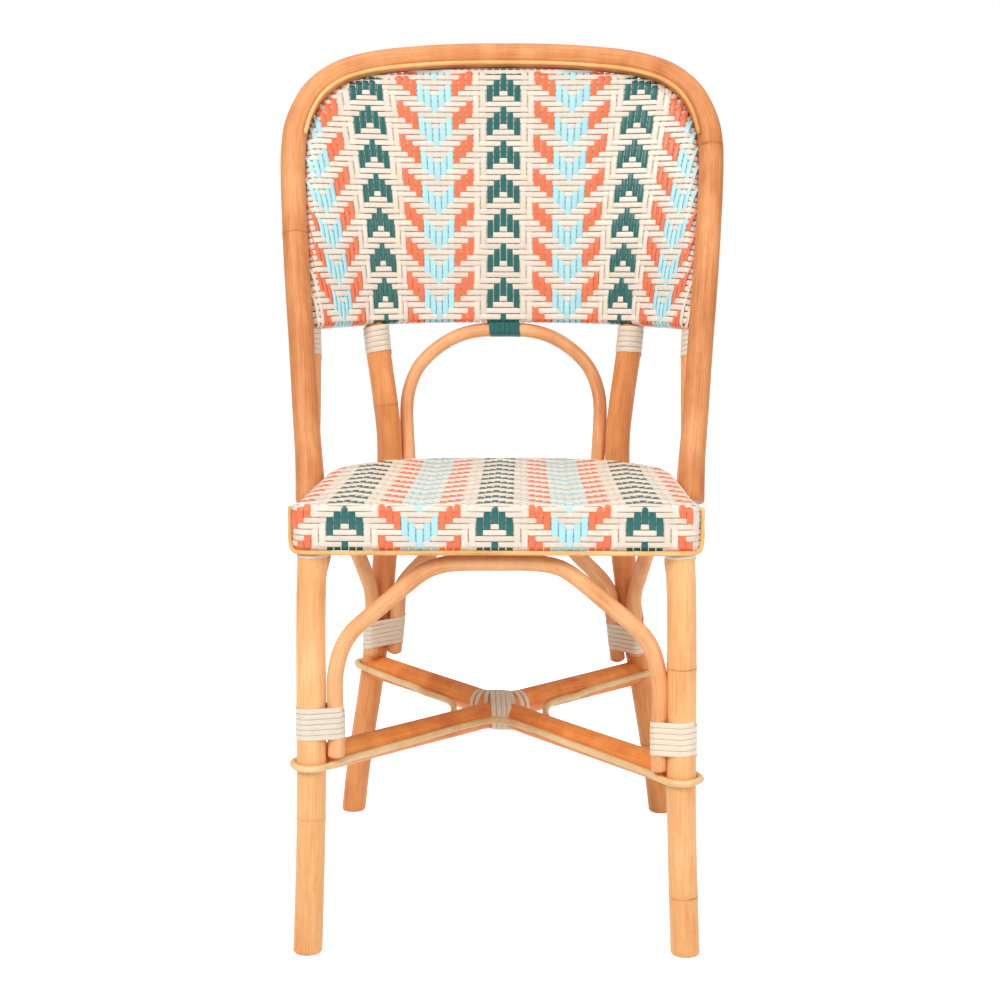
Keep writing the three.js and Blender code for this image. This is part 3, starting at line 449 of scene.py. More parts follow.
# Arches
arches = {
    "midRadius": 7.7,
    "frontRadius": 8.1,
    "frontOut": {"left": [(240, 0), (285, 2.2), (325, 2.2), (355, 0)],
                 "right": [(230, 2.4), (265, 3.9), (325, 2.6), (355, 0)]},
    "lowRadius": 8.75,
    "midShift": 1.7,
    "rearShift": {"left": 2.2, "right": 6.2}, "shiftBelow": 391, "shiftOver": 150,
    "rearEnd": 204.5, "rearEndRight": 197.5,
    "sideIn": {"left": (0, 1.5, 4, 10, 13), "right": (0, 1.5, 3, 6, 8)},
    "sideHeights": (240, 290, 340, 372, 396), "sideInFrom": 120, "sideInOver": 170,
    "sideOut": 3.5, "outBelow": 360, "outOver": 60, "outBehind": 300,
    "mid": [
        (0, 429, 582), (16.7, 429, 582.3), (34, 429.1, 580.5), (50, 429, 576.3), (62, 428.1, 570.8),
        (76, 425.9, 561.7), (88, 421.8, 551.6), (99.5, 417.1, 538.3), (106.5, 411.7, 521.3),
        (110.5, 407.5, 506), (111, 404, 490), (110.4, 400.5, 473.5), (109.3, 396, 457.5),
        (108.2, 392, 441.3), (107.4, 389, 423.5), (107, 388, 406.8)
    ],
    "front": [
        (-155.6, 0, 199), (-155.4, 0, 218.2), (-155.3, 0, 235.9), (-155.3, 0, 255.1),
        (-154.5, 0, 272.8), (-151.3, 0, 291.7), (-146, 0, 308.6), (-135.7, 0, 324.6),
        (-122.7, 0, 336.7), (-108.5, 0, 349.6), (-95.2, 0, 361.3), (-80.5, 0, 373.7),
        (-66.2, 0, 384.1), (-48.1, 0, 389.9), (-30.4, 0, 391.2), (-11.2, 0, 391.4), (6.5, 0, 391.3),
        (25.7, 0, 391.4), (43.4, 0, 390.4), (62.1, 0, 386.4), (76.9, 0, 376.6), (91.7, 0, 364.4),
        (105.1, 0, 352.8), (119.3, 0, 339.9), (132.4, 0, 327.9), (144.2, 0, 313), (150.3, 0, 296.4),
        (153.8, 0, 277.5), (155, 0, 259.8), (155.3, 0, 240.6), (155.4, 0, 222.9), (155.6, 0, 203.7),
        (155.7, 0, 186)
    ],
    "rear": [
        (0, 363.5, 391.2), (16.5, 363.8, 389.7), (32.9, 365.4, 382.7), (45.7, 367.7, 372.4),
        (56.6, 370.5, 360.1), (68.2, 373.6, 346.7), (78.9, 376.4, 334.3), (89.7, 379.2, 321.8),
        (101.8, 382.1, 309), (112.3, 385, 296.4), (119.9, 388, 282), (121.8, 390.2, 264.3),
        (123.6, 393.3, 248.1), (125.3, 397.2, 232), (127.3, 402.1, 214.8), (129.1, 407, 199)
    ],
    "sideLeft": [
        (-153.1, 391.1, 199), (-151.7, 387, 221.6), (-150.3, 382.8, 245.9), (-149.7, 380.5, 268.8),
        (-151.7, 373, 289.8), (-156.4, 359, 307.3), (-161.7, 343.7, 326), (-166.2, 327.8, 342.1),
        (-169.8, 311.5, 357.9), (-173.1, 291.7, 372.2), (-175.5, 271.4, 382.8), (-177.2, 249.7, 390.6),
        (-178.2, 227.1, 394.6), (-178.6, 202.4, 395.4), (-178.7, 179.4, 395.2), (-179, 156.3, 395.4),
        (-179.3, 131.6, 395.9), (-179.5, 108.6, 396.4), (-180.1, 85.5, 396.9), (-181, 62.5, 397.5),
        (-170.5, 41.6, 393.9), (-173.5, 28.1, 376), (-175, 23.5, 353.7), (-175.6, 23.3, 328.9),
        (-175.9, 23.3, 305.9), (-176.2, 23.3, 282.8), (-176.4, 23.3, 259.7), (-176.6, 23.3, 235.1),
        (-176.9, 23.3, 212)
    ],
    "sideRight": [
        (153.1, 391.1, 199), (151.6, 387, 222), (150.3, 382.6, 246.7), (149.7, 380.5, 270),
        (152, 372, 290.8), (156.9, 357.9, 308.8), (162.2, 342.2, 327.6), (166.6, 326, 343.9),
        (170.2, 309.2, 359.8), (173.5, 288.7, 374), (175.8, 267.9, 384.3), (177.4, 245.7, 391.6),
        (178.3, 222.6, 395), (178.6, 197.5, 395.4), (178.8, 174.1, 395.2), (179, 150.7, 395.5),
        (179.3, 125.6, 396), (179.6, 102.1, 396.5), (180.6, 78.8, 397.2), (179, 55.7, 397.3),
        (171.8, 35.9, 388.9), (174.1, 26.1, 368), (175.3, 23.2, 344.9), (175.7, 23.3, 319.9),
        (176, 23.3, 296.4), (176.3, 23.3, 272.9), (176.5, 23.3, 249.5), (176.7, 23.3, 224.4),
        (177, 23.3, 201)
    ],
}
midLine = eased(smoothLine(wholeFromRight(arches["mid"]), 5), 8)
frontArchLine = eased(smoothLine(arches["front"], 5), 3)
for side, way in (("left", -1), ("right", 1)):
    outwards = np.interp(frontArchLine[:, 2], *zip(*arches["frontOut"][side]))
    frontArchLine[:, 0] += way * outwards * (frontArchLine[:, 0] * way > 0)
midLine[:, 0] += arches["midShift"]
rearArchLine = smoothLine(wholeFromRight(arches["rear"]), 5)
lowest = np.where(rearArchLine[:, 0] > 0, arches["rearEndRight"], arches["rearEnd"])
rearArchLine = rearArchLine[rearArchLine[:, 2] > lowest]
shifts = np.where(rearArchLine[:, 0] > 0, arches["rearShift"]["right"], arches["rearShift"]["left"])
shifts *= np.clip((arches["shiftBelow"] - rearArchLine[:, 2]) / arches["shiftOver"], 0, 1)
rearArchLine[:, 0] += shifts
sideArchLines = {}
for side in sidesOfChair:
    line = smoothLine(arches["side" + side.capitalize()], 5)
    line = line[(line[:, 2] > arches["rearEnd"]) | (line[:, 1] < arches["outBehind"])]
    inwards = np.interp(line[:, 2], arches["sideHeights"], arches["sideIn"][side])
    inwards *= np.clip((line[:, 1] - arches["sideInFrom"]) / arches["sideInOver"], 0, 1)
    line[:, 0] -= np.sign(line[:, 0]) * inwards
    if side == "right":
        low = np.clip((arches["outBelow"] - line[:, 2]) / arches["outOver"], 0, 1)
        line[:, 0] += arches["sideOut"] * low * (line[:, 1] > arches["outBehind"])
    sideArchLines[side] = smoothLine(line, 5)
addPole("mid_arch", withEnds(midLine), arches["midRadius"])
addPole("front_arch", withEnds(frontArchLine), arches["frontRadius"])
addPole("rear_arch", withEnds(rearArchLine), arches["lowRadius"])
for side in sidesOfChair:
    addPole("side_arch_" + side, withEnds(sideArchLines[side]), arches["lowRadius"], seam=(1, 0, 0))
print("arches made")

# Cross under the seat
cross = {
    "frontRadius": 13.6,
    "rearRadius": 13.8,
    "frontEnds": {"left": (-179.8, 6.8, 193.3), "right": (179.8, 6.8, 180.0)},
    "rearEnds": {"left": (-154.0, 417.8, 188.3), "right": (160.0, 419.3, 180.2)},
    "frontApex": 208.0,
    "rearApex": 235.1,
    "bend": 18.0,
    "middle": {"front": 183.0, "rear": 190.4},
    "armShares": (0.04, 0.3, 0.6, 0.8, 0.91),
    "loopRadius": 3.5,
    "loop": [
        (0, 187.7, 184.8), (13.6, 180.3, 184.2), (28, 164.1, 183.6), (38.5, 152.7, 183.2),
        (49, 140.2, 182.8), (62.4, 123.3, 182.2), (72.3, 110.7, 181.7), (82.4, 98.3, 181.3),
        (96, 81.8, 180.8), (106.3, 69.2, 180.4), (116.8, 56.4, 180), (130, 40.5, 179.4),
        (140.1, 28.4, 179), (149.4, 15.7, 178.6), (160.8, -3, 178.1), (170.2, -15.2, 178),
        (185.4, -17.3, 178), (198.5, -2.4, 178), (195.1, 13, 178.2), (187, 26.4, 178.6),
        (173, 43, 179.2), (162.6, 55.2, 179.6), (152.5, 67.5, 180), (142.3, 79.9, 180.4),
        (128.3, 95.9, 180.9), (117.5, 107.8, 181.3), (107.7, 120.5, 181.7), (97.2, 138, 182.4),
        (89.2, 152.6, 183), (73.8, 163.8, 183.6), (60, 181, 183.9), (52.5, 196, 184.1),
        (50, 212, 184.2), (50, 232, 184.2), (52, 247, 184.2), (58.5, 263.5, 184.3),
        (72.1, 281.3, 184.4), (83.7, 290.4, 184.1), (91.1, 305.6, 183.8), (98.8, 318.4, 183.7),
        (112.2, 334.9, 183.6), (122.5, 347.1, 183.5), (133.3, 359.8, 183.3), (148, 376.7, 183.2),
        (158.8, 389.5, 183), (170, 402.6, 182.9), (179.3, 421, 183), (171.4, 434.3, 183),
        (156.1, 436.9, 183), (140.3, 423.1, 183.1), (130.9, 410.1, 183.2), (120.1, 397.3, 183.3),
        (105.4, 380.4, 183.4), (92.9, 367.9, 183.6), (82.9, 355, 183.7), (69.9, 338, 183.9),
        (60.4, 325.6, 184.1), (50.7, 312.5, 184.1), (37.8, 295.1, 184.3), (27.4, 282, 184.4),
        (17.6, 270.5, 184.6), (1.7, 256.4, 185), (-11.6, 263.5, 185.6), (-22.1, 276, 186.1),
        (-32.4, 288, 186.4), (-45.4, 305.2, 186.9), (-54.9, 318.2, 187.2), (-64.7, 331.2, 187.5),
        (-77.4, 347.8, 187.9), (-87.2, 360.5, 188.3), (-96.9, 373.2, 188.6), (-109.9, 390.2, 189),
        (-119.6, 402.8, 189.3), (-129, 416, 189.7), (-142.8, 432.1, 190), (-157.9, 435.6, 190),
        (-170.1, 426.1, 190), (-167.6, 406.4, 189.8), (-158, 393.6, 189.5), (-148.4, 380.9, 189.1),
        (-135.4, 363.8, 188.7), (-125.7, 351.2, 188.4), (-115.6, 338.7, 188), (-101.7, 322.4, 187.7),
        (-92.8, 309.1, 187.2), (-86, 295.6, 186.9), (-72.1, 281.3, 186.1), (-58.5, 263.5, 185.9),
        (-52, 247, 185.8), (-50, 232, 185.7), (-50, 212, 185.7), (-52.5, 196, 185.6),
        (-60, 181, 185.3), (-73.8, 163.8, 185), (-86.8, 157.2, 187.3), (-94.1, 143.4, 188),
        (-105.4, 124, 188.6), (-114.2, 111.8, 189), (-124.7, 99.7, 189.2), (-139.1, 83.7, 189.6),
        (-149, 71.6, 189.9), (-159.1, 59.3, 190.3), (-172.9, 42.9, 190.7), (-183.4, 30.6, 191.1),
        (-192.8, 17.5, 191.3), (-198.2, 2.8, 191.1), (-190, -15, 191), (-174.7, -17.6, 191),
        (-163.6, -7.5, 190.8), (-152.1, 11.1, 190.4), (-143.1, 24.4, 190.3), (-133.3, 36.6, 189.9),
        (-120.4, 51.9, 189.5), (-109.5, 65.2, 189.1), (-99.3, 77.7, 188.8), (-85.7, 94.2, 188.3),
        (-75.6, 106.6, 188.1), (-65.6, 119.1, 187.8), (-52.3, 136, 187.4), (-42.3, 148.3, 187.1),
        (-31.1, 160.7, 186.7), (-17.4, 176.3, 185.9), (-4.9, 186.6, 185.1)
    ],
}

def crossLine(ends, apex, away, middle):
    vertex = np.array([0, apex + away * cross["bend"], middle])
    half = {side: [np.array(ends[side]) + (vertex - np.array(ends[side])) * share
                   for share in cross["armShares"]] for side in sidesOfChair}
    return smoothLine(half["left"] + [np.array([0, apex, middle])] + half["right"][::-1], 5)

crossFront = crossLine(cross["frontEnds"], cross["frontApex"], 1, cross["middle"]["front"])
crossRear = crossLine(cross["rearEnds"], cross["rearApex"], -1, cross["middle"]["rear"])
for name, line in (("front", crossFront), ("rear", crossRear)):
    addPole("stretcher_" + name, line, cross[name + "Radius"], "deep", "rattan_pole_deep", seam=(0, 0, -1),
            around=32, rounded=0)
loopLine = smoothLine(cross["loop"], 4, closed=True)
addPole("stretcher_loop", loopLine, cross["loopRadius"], "core", "rattan_core", seam=(0, 0, -1), around=14,
        closed=True)
print("cross made")

# Split cane edges
canes = {
    "radius": 2.3,
    "seat": [
        (0, -17.3, 403.8), (12.9, -17.4, 403.8), (25.8, -17.5, 403.8), (38.7, -17.8, 403.8),
        (51.6, -18, 403.8), (65.7, -18.3, 403.8), (78.6, -18.6, 403.8), (91.5, -18.9, 403.8),
        (104.4, -19.1, 403.8), (117.3, -19.3, 403.8), (130.2, -19.4, 403.8), (143.2, -19.3, 403.8),
        (156.1, -19, 403.8), (169, -18.3, 403.8), (182.7, -15.8, 403.6), (193.4, -9.1, 404.8),
        (196.3, -4, 415.2), (196.1, -3.6, 428.1), (196.1, -3.8, 446)
    ],
    "back": [
        (0, 424.8, 882.8), (26.3, 424.8, 882.8), (52.5, 424.6, 882.3), (78.7, 424.2, 881.1),
        (104.9, 423.4, 879.2), (131, 422.2, 876.6), (156.7, 420.1, 871.8), (181.1, 416.4, 863.3),
        (201.2, 409.8, 847.9), (213.4, 400.9, 826.7), (219.9, 391.1, 803.3)
    ],
}
for part, step in (("seat", 3), ("back", 4)):
    addPole(part + "_edge_cane", smoothLine(wholeFromRight(canes[part]), step), canes["radius"], "split",
            "split_cane", around=14, rounded=0.6)
print("edge canes made")

# Weave shared by seat and back
weave = {
    "thickness": 1.15,
    "ribWidth": 7.0,
    "lift": 0.62,
    "repeat": 20,
    "twill": 6,
    "paler": 0.035, "warmer": 0.01,
    "green": (14, 104, 100),
    "orange": (255, 122, 76),
    "blue": (182, 238, 248),
    "beige": (243, 229, 212),
    "profile": [(-0.5, 0.0), (-0.43, 0.34), (-0.17, 0.5), (0.17, 0.5), (0.43, 0.34), (0.5, 0.0),
                (0.3, -0.5), (-0.3, -0.5)],
}

def motifColumn(column):
    inRepeat = column % weave["repeat"]
    return min(inRepeat, weave["repeat"] - inRepeat)

def warpOver(column, row):
    return (row - motifColumn(column)) % weave["twill"] < weave["twill"] // 2

def warpTone(column, chance, plain=False):
    place = motifColumn(column)
    key = "green" if place < 3 else "beige" if place < 5 else "orange" if place < 8 else "blue"
    if plain:
        key = "beige"
    return shaded(weave[key], chance)

def shaded(colour, chance):
    # strands of one batch differ a little
    change = 1 + weave["paler"] * chance.standard_normal()
    warm = 1 + weave["warmer"] * chance.standard_normal()
    red, green, blue, alpha = linear(*colour)
    return (red * change * warm, green * change, blue * change / warm, 1.0)

def betweenStates(states):
    # the rise at every crossing and half way to the next one
    rises = np.where(states, 1.0, -1.0)
    whole = np.empty(2 * len(rises) - 1)
    whole[::2] = rises
    whole[1::2] = (rises[1:] + rises[:-1]) / 2
    return whole

def halfWay(values):
    values = np.asarray(values, float)
    whole = np.empty((2 * len(values) - 1,) + values.shape[1:])
    whole[::2] = values
    whole[1::2] = (values[1:] + values[:-1]) / 2
    return whole

def strandRun(path, normals, widths, tone):
    # a flat strand that lies along a path on a surface
    along = unit(np.gradient(path, axis=0))
    across = unit(np.cross(along, normals))
    normals = unit(np.cross(across, along))
    profile = np.array(weave["profile"] + weave["profile"][:1])
    wide = np.broadcast_to(np.asarray(widths, float), (len(path),))[:, None, None]
    rings = (path[:, None] + across[:, None] * (profile[:, 0][None, :, None] * wide)
             + normals[:, None] * (profile[:, 1][None, :, None] * weave["thickness"]))
    return {"rings": rings, "across": profile[:, 0] * weave["ribWidth"],
            "length": lengthsAlong(path), "tone": tone}

def strandPiece(name, runs, *hides):
    piece = gridMesh(name, runs, len(weave["profile"]))
    dressed(piece, strandFinish, "woven_strand", *hides)
    print(name, len(piece.data.polygons), "faces")

# Woven back
back = {
    "footHalf": 205.354, "footHeight": 412.0, "footBack": 236.6, "lean": 0.42499,
    "widestHalf": 233.9, "widestHeight": 785.3,
    "topBack": 440.0, "topHeight": 890.6, "bottom": 589.8, "centreLean": 11.0, "power": 2.8,
    "centreShift": 1.4, "columns": 38, "rows": 45,
    "columnMarks": (0, 8, 14, 22, 26, 30, 38),
    "columnHeights": (621, 698, 774, 850),
    "columnPlaces": [(0, 60.6, 104.2, 155.8, 180.6, 203, 248), (0, 59.9, 103.6, 158, 184.5, 209, 257),
                     (0, 60.8, 106.3, 163.5, 192.5, 220, 272), (0, 62.8, 110.5, 171.6, 204.1, 235, 297)],
    "rowMarks": (-6, 0, 6, 12, 18, 24, 30, 36, 42, 48),
    "rowHeights": (904.5, 869, 833.5, 795.6, 757.6, 719.4, 680, 641.5, 600.5, 559.5),
    "strandShare": 0.85, "rowShare": 0.9,
    "faceReach": 10.4, "edgeRoll": 9.0, "footRoll": 4.0, "footArch": 0.8, "archHalf": 200.0,
    "keptRoom": 1.4, "endRoom": 0.1, "endReach": 60, "endStep": 0.25,
    "endShares": (0.3, 0.55, 0.75, 0.88, 0.96, 1.0), "endRises": (0.7, 0.4, 0.2, 0.1, 0, 0),
    "edge": [
        (211, 592.5), (212.3, 608.8), (213.6, 625.1), (214.6, 638.1), (215.7, 654.3), (216.7, 670.7),
        (217.7, 687), (218.4, 700.1), (219.2, 716.5), (220, 732.8), (220.5, 749.1), (220.7, 762.1),
        (220.6, 778.1), (219.6, 793.9), (217, 807.8), (211.4, 822.3), (206.6, 832.8), (198.5, 843.5),
        (187.5, 852.5), (175.2, 859.2), (163.6, 863.1), (147.8, 867), (131.6, 869.7), (114.7, 871.5),
        (100.8, 872.7), (83.6, 874), (66.3, 874.9), (48.9, 875.5), (35.1, 875.7), (17.6, 875.8),
        (0, 875.8)
    ],
}

def hoopDepth(z):
    return back["footBack"] + back["lean"] * (z - back["footHeight"])

def backCentre(z):
    return back["topBack"] - (back["centreLean"] * (back["topHeight"] - z)
                              / (back["topHeight"] - back["bottom"]))

def barrelHalf(z):
    share = (z - back["footHeight"]) / (back["widestHeight"] - back["footHeight"])
    return back["footHalf"] + (back["widestHalf"] - back["footHalf"]) * share

def barrel(x, z):
    depth = backCentre(z) - hoopDepth(z)
    return np.stack([x, backCentre(z) - depth * (abs(x) / barrelHalf(z)) ** back["power"], z], axis=-1)

def barrelNormal(x, z):
    here = barrel(x, z)
    return unit(np.cross(barrel(x, z + 0.3) - here, barrel(x + 0.3, z) - here))

widthSamples = np.linspace(0, 245, 246)

def surfaceX(s, z):
    # x of a place that is s round the barrel from its middle
    s, z = np.broadcast_arrays(np.asarray(s, float), np.asarray(z, float))
    found = np.empty(s.shape)
    for k in range(s.size):
        level = barrel(widthSamples, np.full(len(widthSamples), z.flat[k]))
        found.flat[k] = np.sign(s.flat[k]) * np.interp(abs(s.flat[k]), lengthsAlong(level), widthSamples)
    return found

def surfaceS(x, z):
    level = barrel(widthSamples, np.full(len(widthSamples), z))
    return np.interp(abs(x), widthSamples, lengthsAlong(level)) * np.sign(x)

rightRim = np.array([(surfaceS(x, z), z) for x, z in back["edge"]])
rightRim[0, 1] = back["bottom"] - back["edgeRoll"]
rim = np.vstack([rightRim, (rightRim * (-1, 1))[::-1][1:], rightRim[:1]])

def insideRim(s, z):
    # distance inside the rim of the woven back, negative outside
    points = np.column_stack([np.ravel(s), np.ravel(z)])
    start, end = rim[:-1], rim[1:]
    way = end - start
    share = np.einsum("pkd,kd->pk", points[:, None] - start[None], way) / (way ** 2).sum(1)
    foot = start[None] + np.clip(share, 0, 1)[..., None] * way[None]
    distance = np.linalg.norm(points[:, None] - foot, axis=2).min(1)
    crossings = np.zeros(len(points), int)
    for a, b in zip(start, end):
        level = (a[1] > points[:, 1]) != (b[1] > points[:, 1])
        with np.errstate(divide="ignore", invalid="ignore"):
            at = a[0] + (points[:, 1] - a[1]) / (b[1] - a[1]) * (b[0] - a[0])
        crossings += level & (points[:, 0] < at)
    return np.where(crossings % 2 == 1, distance, -distance)

def footHeight(s):
    # the lower edge rises a little towards the middle
    return back["bottom"] + back["footArch"] * np.clip(1 - (np.asarray(s) / back["archHalf"]) ** 2, 0, 1)

def onBack(s, z, rise, way):
    # a place on the woven face, which rolls back to the middle of the panel at its rim
    s, z = np.asarray(s, float), np.asarray(z, float)
    x = surfaceX(s, z)
    inside = np.minimum(insideRim(s, z) / back["edgeRoll"], (z - footHeight(s)) / back["footRoll"])
    roll = np.sqrt(np.clip(1 - (1 - np.clip(inside, 0, 1)) ** 2, 0, 1))
    normal = barrelNormal(x, z)
    reach = back["faceReach"] * roll + rise * (0.3 + 0.7 * roll)
    return barrel(x, z) + normal * (way * reach)[:, None], normal * way

def columnPlace(column, z):
    # how far round the barrel a column lies, by height
    tables = [np.interp(abs(column), back["columnMarks"], places) for places in back["columnPlaces"]]
    return np.interp(z, back["columnHeights"], tables) * np.sign(column) + back["centreShift"]

def rowHeight(row):
    return np.interp(row + 0.5, back["rowMarks"], back["rowHeights"])

def roomLeft(s, z):
    return np.minimum(insideRim(s, z), z - footHeight(s))

def toRim(s, z, rises):
    # what lies inside the rim is kept, and both ends run on to the rim itself
    kept = np.flatnonzero(roomLeft(s, z) > back["keptRoom"])
    if len(kept) < 3:
        return None
    first, last = kept[0], kept[-1]
    ends = []
    for k, step in ((first, -1), (last, 1)):
        start = np.array([s[k], z[k]])
        way = unit(start - np.array([s[k - step], z[k - step]]))
        reach = np.arange(0, back["endReach"], back["endStep"])
        ahead = start + way * reach[:, None]
        stop = reach[np.argmax(roomLeft(ahead[:, 0], ahead[:, 1]) < back["endRoom"])]
        shares = np.array(back["endShares"]) * stop
        ends.append((start + way * shares[:, None], rises[k] * np.array(back["endRises"])))
    places = np.vstack([ends[0][0][::-1], np.column_stack([s, z])[first:last + 1], ends[1][0]])
    return places[:, 0], places[:, 1], np.concatenate([ends[0][1][::-1], rises[first:last + 1], ends[1][1]])

def backRuns(way, chance):
    columns = np.arange(-back["columns"], back["columns"] + 1)
    rows = np.arange(-2, back["rows"] + 1)
    halves = halfWay(rows)
    heights = rowHeight(halves)
    warps, wefts = [], []
    for column in columns:
        rises = betweenStates(np.array([warpOver(column, row) for row in rows])) * weave["lift"]
        found = toRim(columnPlace(column, heights), heights, rises)
        if found is None:
            continue
        s, z, rise = found
        path, normals = onBack(s, z, rise, way)
        widths = (columnPlace(column + 0.5, z) - columnPlace(column - 0.5, z)) * back["strandShare"]
        warps.append(strandRun(path, normals, widths, warpTone(column, chance)))
    for row in rows:
        z = float(rowHeight(row))
        states = np.array([not warpOver(column, row) for column in columns])
        places = halfWay([float(columnPlace(column, z)) for column in columns])
        found = toRim(places, np.full(len(places), z), betweenStates(states) * weave["lift"])
        if found is None:
            continue
        path, normals = onBack(*found, way)
        width = (rowHeight(row - 0.5) - rowHeight(row + 0.5)) * back["rowShare"]
        wefts.append(strandRun(path, normals, width, shaded(weave["beige"], chance)))
    return warps, wefts

chance = np.random.default_rng(7)
for face, way, hides in (("front", -1, ["back_weave"]), ("rear", 1, [])):
    warps, wefts = backRuns(way, chance)
    strandPiece("back_" + face + "_warps", warps, *hides)
    strandPiece("back_" + face + "_wefts", wefts)
print("back woven")

# Woven seat
seat = {
    "height": 450.0, "half": 195.6, "rearHalf": 188.0, "front": -17.6, "back": 376.1,
    "corner": 17.6, "rearCorner": 140.0, "cornerBack": 236.1, "drop": 8.0, "depth": 393.7,
    "skirt": 44.4, "frontRound": 6.0, "sideRound": 13.0, "inset": 1.3,
    "columnPitch": 7.1, "columnShift": -1.1, "columns": 27, "weftRise": 0.24,
    "railInset": 12.6, "railRadius": 9.7, "railDrops": {"upper": 12.6, "lower": 32.3}, "railStart": 6.0,
    "rowPitch": 5.97, "firstRow": -13.04, "lastRow": 373.3, "rings": 7,
    "frontRings": (3.8, 5.75), "sideRings": (7.9, 5.5),
    "strandWidth": 6.35, "rowWidth": 5.2, "ringWidth": 5.2,
    "fineSteps": (0, 0.1, 0.3, 0.6, 1, 1.6, 2.4, 3.4, 4.6, 6, 7.5, 9, 10.5, 12), "plainFrom": 14,
    "plainSteps": 60, "foldSteps": 11, "endStations": 24, "apart": 3.6, "closest": 3.2,
    "foldEnd": 0.3, "freeEnd": 0.8, "pastMark": 4.5, "leastFacing": 0.66, "warpFold": 0.28, "weftFold": 0.69,
    "footWidth": 4.6, "footDrop": 2.3, "footInside": 1.9,
}

def seatLevel(y):
    return seat["height"] - seat["drop"] / seat["depth"] * (y - seat["front"])

def seatSide(y):
    return seat["half"] + (seat["rearHalf"] - seat["half"]) * y / seat["cornerBack"]

def frontEdge(x):
    over = np.clip(abs(x) - (seat["half"] - seat["corner"]), 0, seat["corner"] * 0.999)
    return -float(np.sqrt(seat["corner"] ** 2 - over ** 2))

def rearEdge(x):
    over = np.clip(abs(x) - (seat["rearHalf"] - seat["rearCorner"]), 0, seat["rearCorner"] * 0.999)
    return seat["cornerBack"] + float(np.sqrt(seat["rearCorner"] ** 2 - over ** 2))

def sideEdge(y):
    if y < 0:
        return seat["half"] - seat["corner"] + math.sqrt(max(seat["corner"] ** 2 - y * y, 0))
    if y > seat["cornerBack"]:
        over = y - seat["cornerBack"]
        return seat["rearHalf"] - seat["rearCorner"] + math.sqrt(max(seat["rearCorner"] ** 2 - over ** 2, 0))
    return seatSide(y)

def outlineRing():
    # the seat's outline in plan from the middle of its front round by the right
    half, rearHalf, corner, rearCorner = (seat[key] for key in ("half", "rearHalf", "corner", "rearCorner"))
    points = [(x, -corner) for x in np.linspace(0, half - corner, 30)]
    points += [(half - corner * (1 - math.sin(a)), -corner * math.cos(a))
               for a in np.linspace(0.1, math.pi / 2, 12)]
    points += [(seatSide(y), y) for y in np.linspace(8, seat["cornerBack"] - 6, 40)]
    points += [(rearHalf - rearCorner * (1 - math.cos(a)), seat["cornerBack"] + rearCorner * math.sin(a))
               for a in np.linspace(0, math.pi / 2, 36)]
    points += [(x, seat["back"]) for x in np.linspace(rearHalf - rearCorner - 4, 0, 20)]
    right = np.array(points)
    return np.vstack([right, (right * (-1, 1))[::-1][1:]])

outline = outlineRing()

def fromEdge(x, y):
    # the distance inside the outline, and the way out
    points = np.column_stack([x, y])
    start, way = outline[:-1], np.diff(outline, axis=0)
    share = np.clip(((points[:, None] - start) * way).sum(2) / (way ** 2).sum(1), 0, 1)
    distance = np.linalg.norm(points[:, None] - start - share[..., None] * way, axis=2)
    nearest = distance.argmin(1)
    return distance.min(1), unit(np.column_stack([way[nearest, 1], -way[nearest, 0]]))

def bendRadius(y):
    # the front edge folds more tightly than the sides
    return seat["frontRound"] + (seat["sideRound"] - seat["frontRound"]) * np.clip((y + 8) / 40, 0, 1)

def seatSurface(x, y):
    inside, outward = fromEdge(x, y)
    bend = bendRadius(y)
    lean = np.clip(1 - inside / bend, 0, 1)
    rise = np.sqrt(1 - lean ** 2)
    place = np.column_stack([x, y, seatLevel(y) - bend * (1 - rise)])
    return place, np.column_stack([outward * lean[:, None], rise])

def columnX(column, y):
    # columns keep their share of the seat's width, also over its rounded side
    half = seatSide(np.clip(y, 0, seat["cornerBack"]))
    across = column * seat["columnPitch"] * half / seat["half"] + seat["columnShift"]
    around = abs(across)
    flat = half - seat["sideRound"]
    turn = np.clip((around - flat) / seat["sideRound"], 0, 1.5)
    return np.sign(across) * (np.minimum(around, flat) + seat["sideRound"] * np.sin(turn))

def ringDrop(ring, y):
    share = np.clip((y + 10) / 60, 0, 1)
    share = share * share * (3 - 2 * share)
    front, side = (seat[key][0] + seat[key][1] * ring for key in ("frontRings", "sideRings"))
    return front * (1 - share) + side * share

def edgeSteps(start, end):
    # fine steps near both ends
    fine = np.array(seat["fineSteps"])
    plain = np.linspace(start + seat["plainFrom"], end - seat["plainFrom"], seat["plainSteps"])
    return np.concatenate([start + fine, plain, (end - fine)[::-1]])

def foldedLine(x, y, folds):
    # a line across the seat that goes on down the skirt at the ends that fold
    place, normal = seatSurface(x, y)
    for end, fold in zip((0, -1), folds):
        if not fold:
            continue
        deep = np.linspace(0, seat["skirt"] - float(bendRadius(y[end])), seat["foldSteps"] + 1)[1:]
        low = place[end] - np.column_stack([deep * 0, deep * 0, deep])
        level = np.tile(normal[end], (len(deep), 1))
        place = np.vstack([low[::-1], place]) if end == 0 else np.vstack([place, low])
        normal = np.vstack([level[::-1], normal]) if end == 0 else np.vstack([normal, level])
    return place, normal, lengthsAlong(place)

def ringStations(place, length, end, y):
    # where a folded line crosses the rings of the skirt
    part = slice(0, seat["endStations"]) if end == 0 else slice(-seat["endStations"], None)
    drops = seatLevel(place[part, 1]) - place[part, 2]
    order = np.argsort(drops)
    return [float(np.interp(ringDrop(ring, y), drops[order], length[part][order]))
            for ring in range(seat["rings"])]

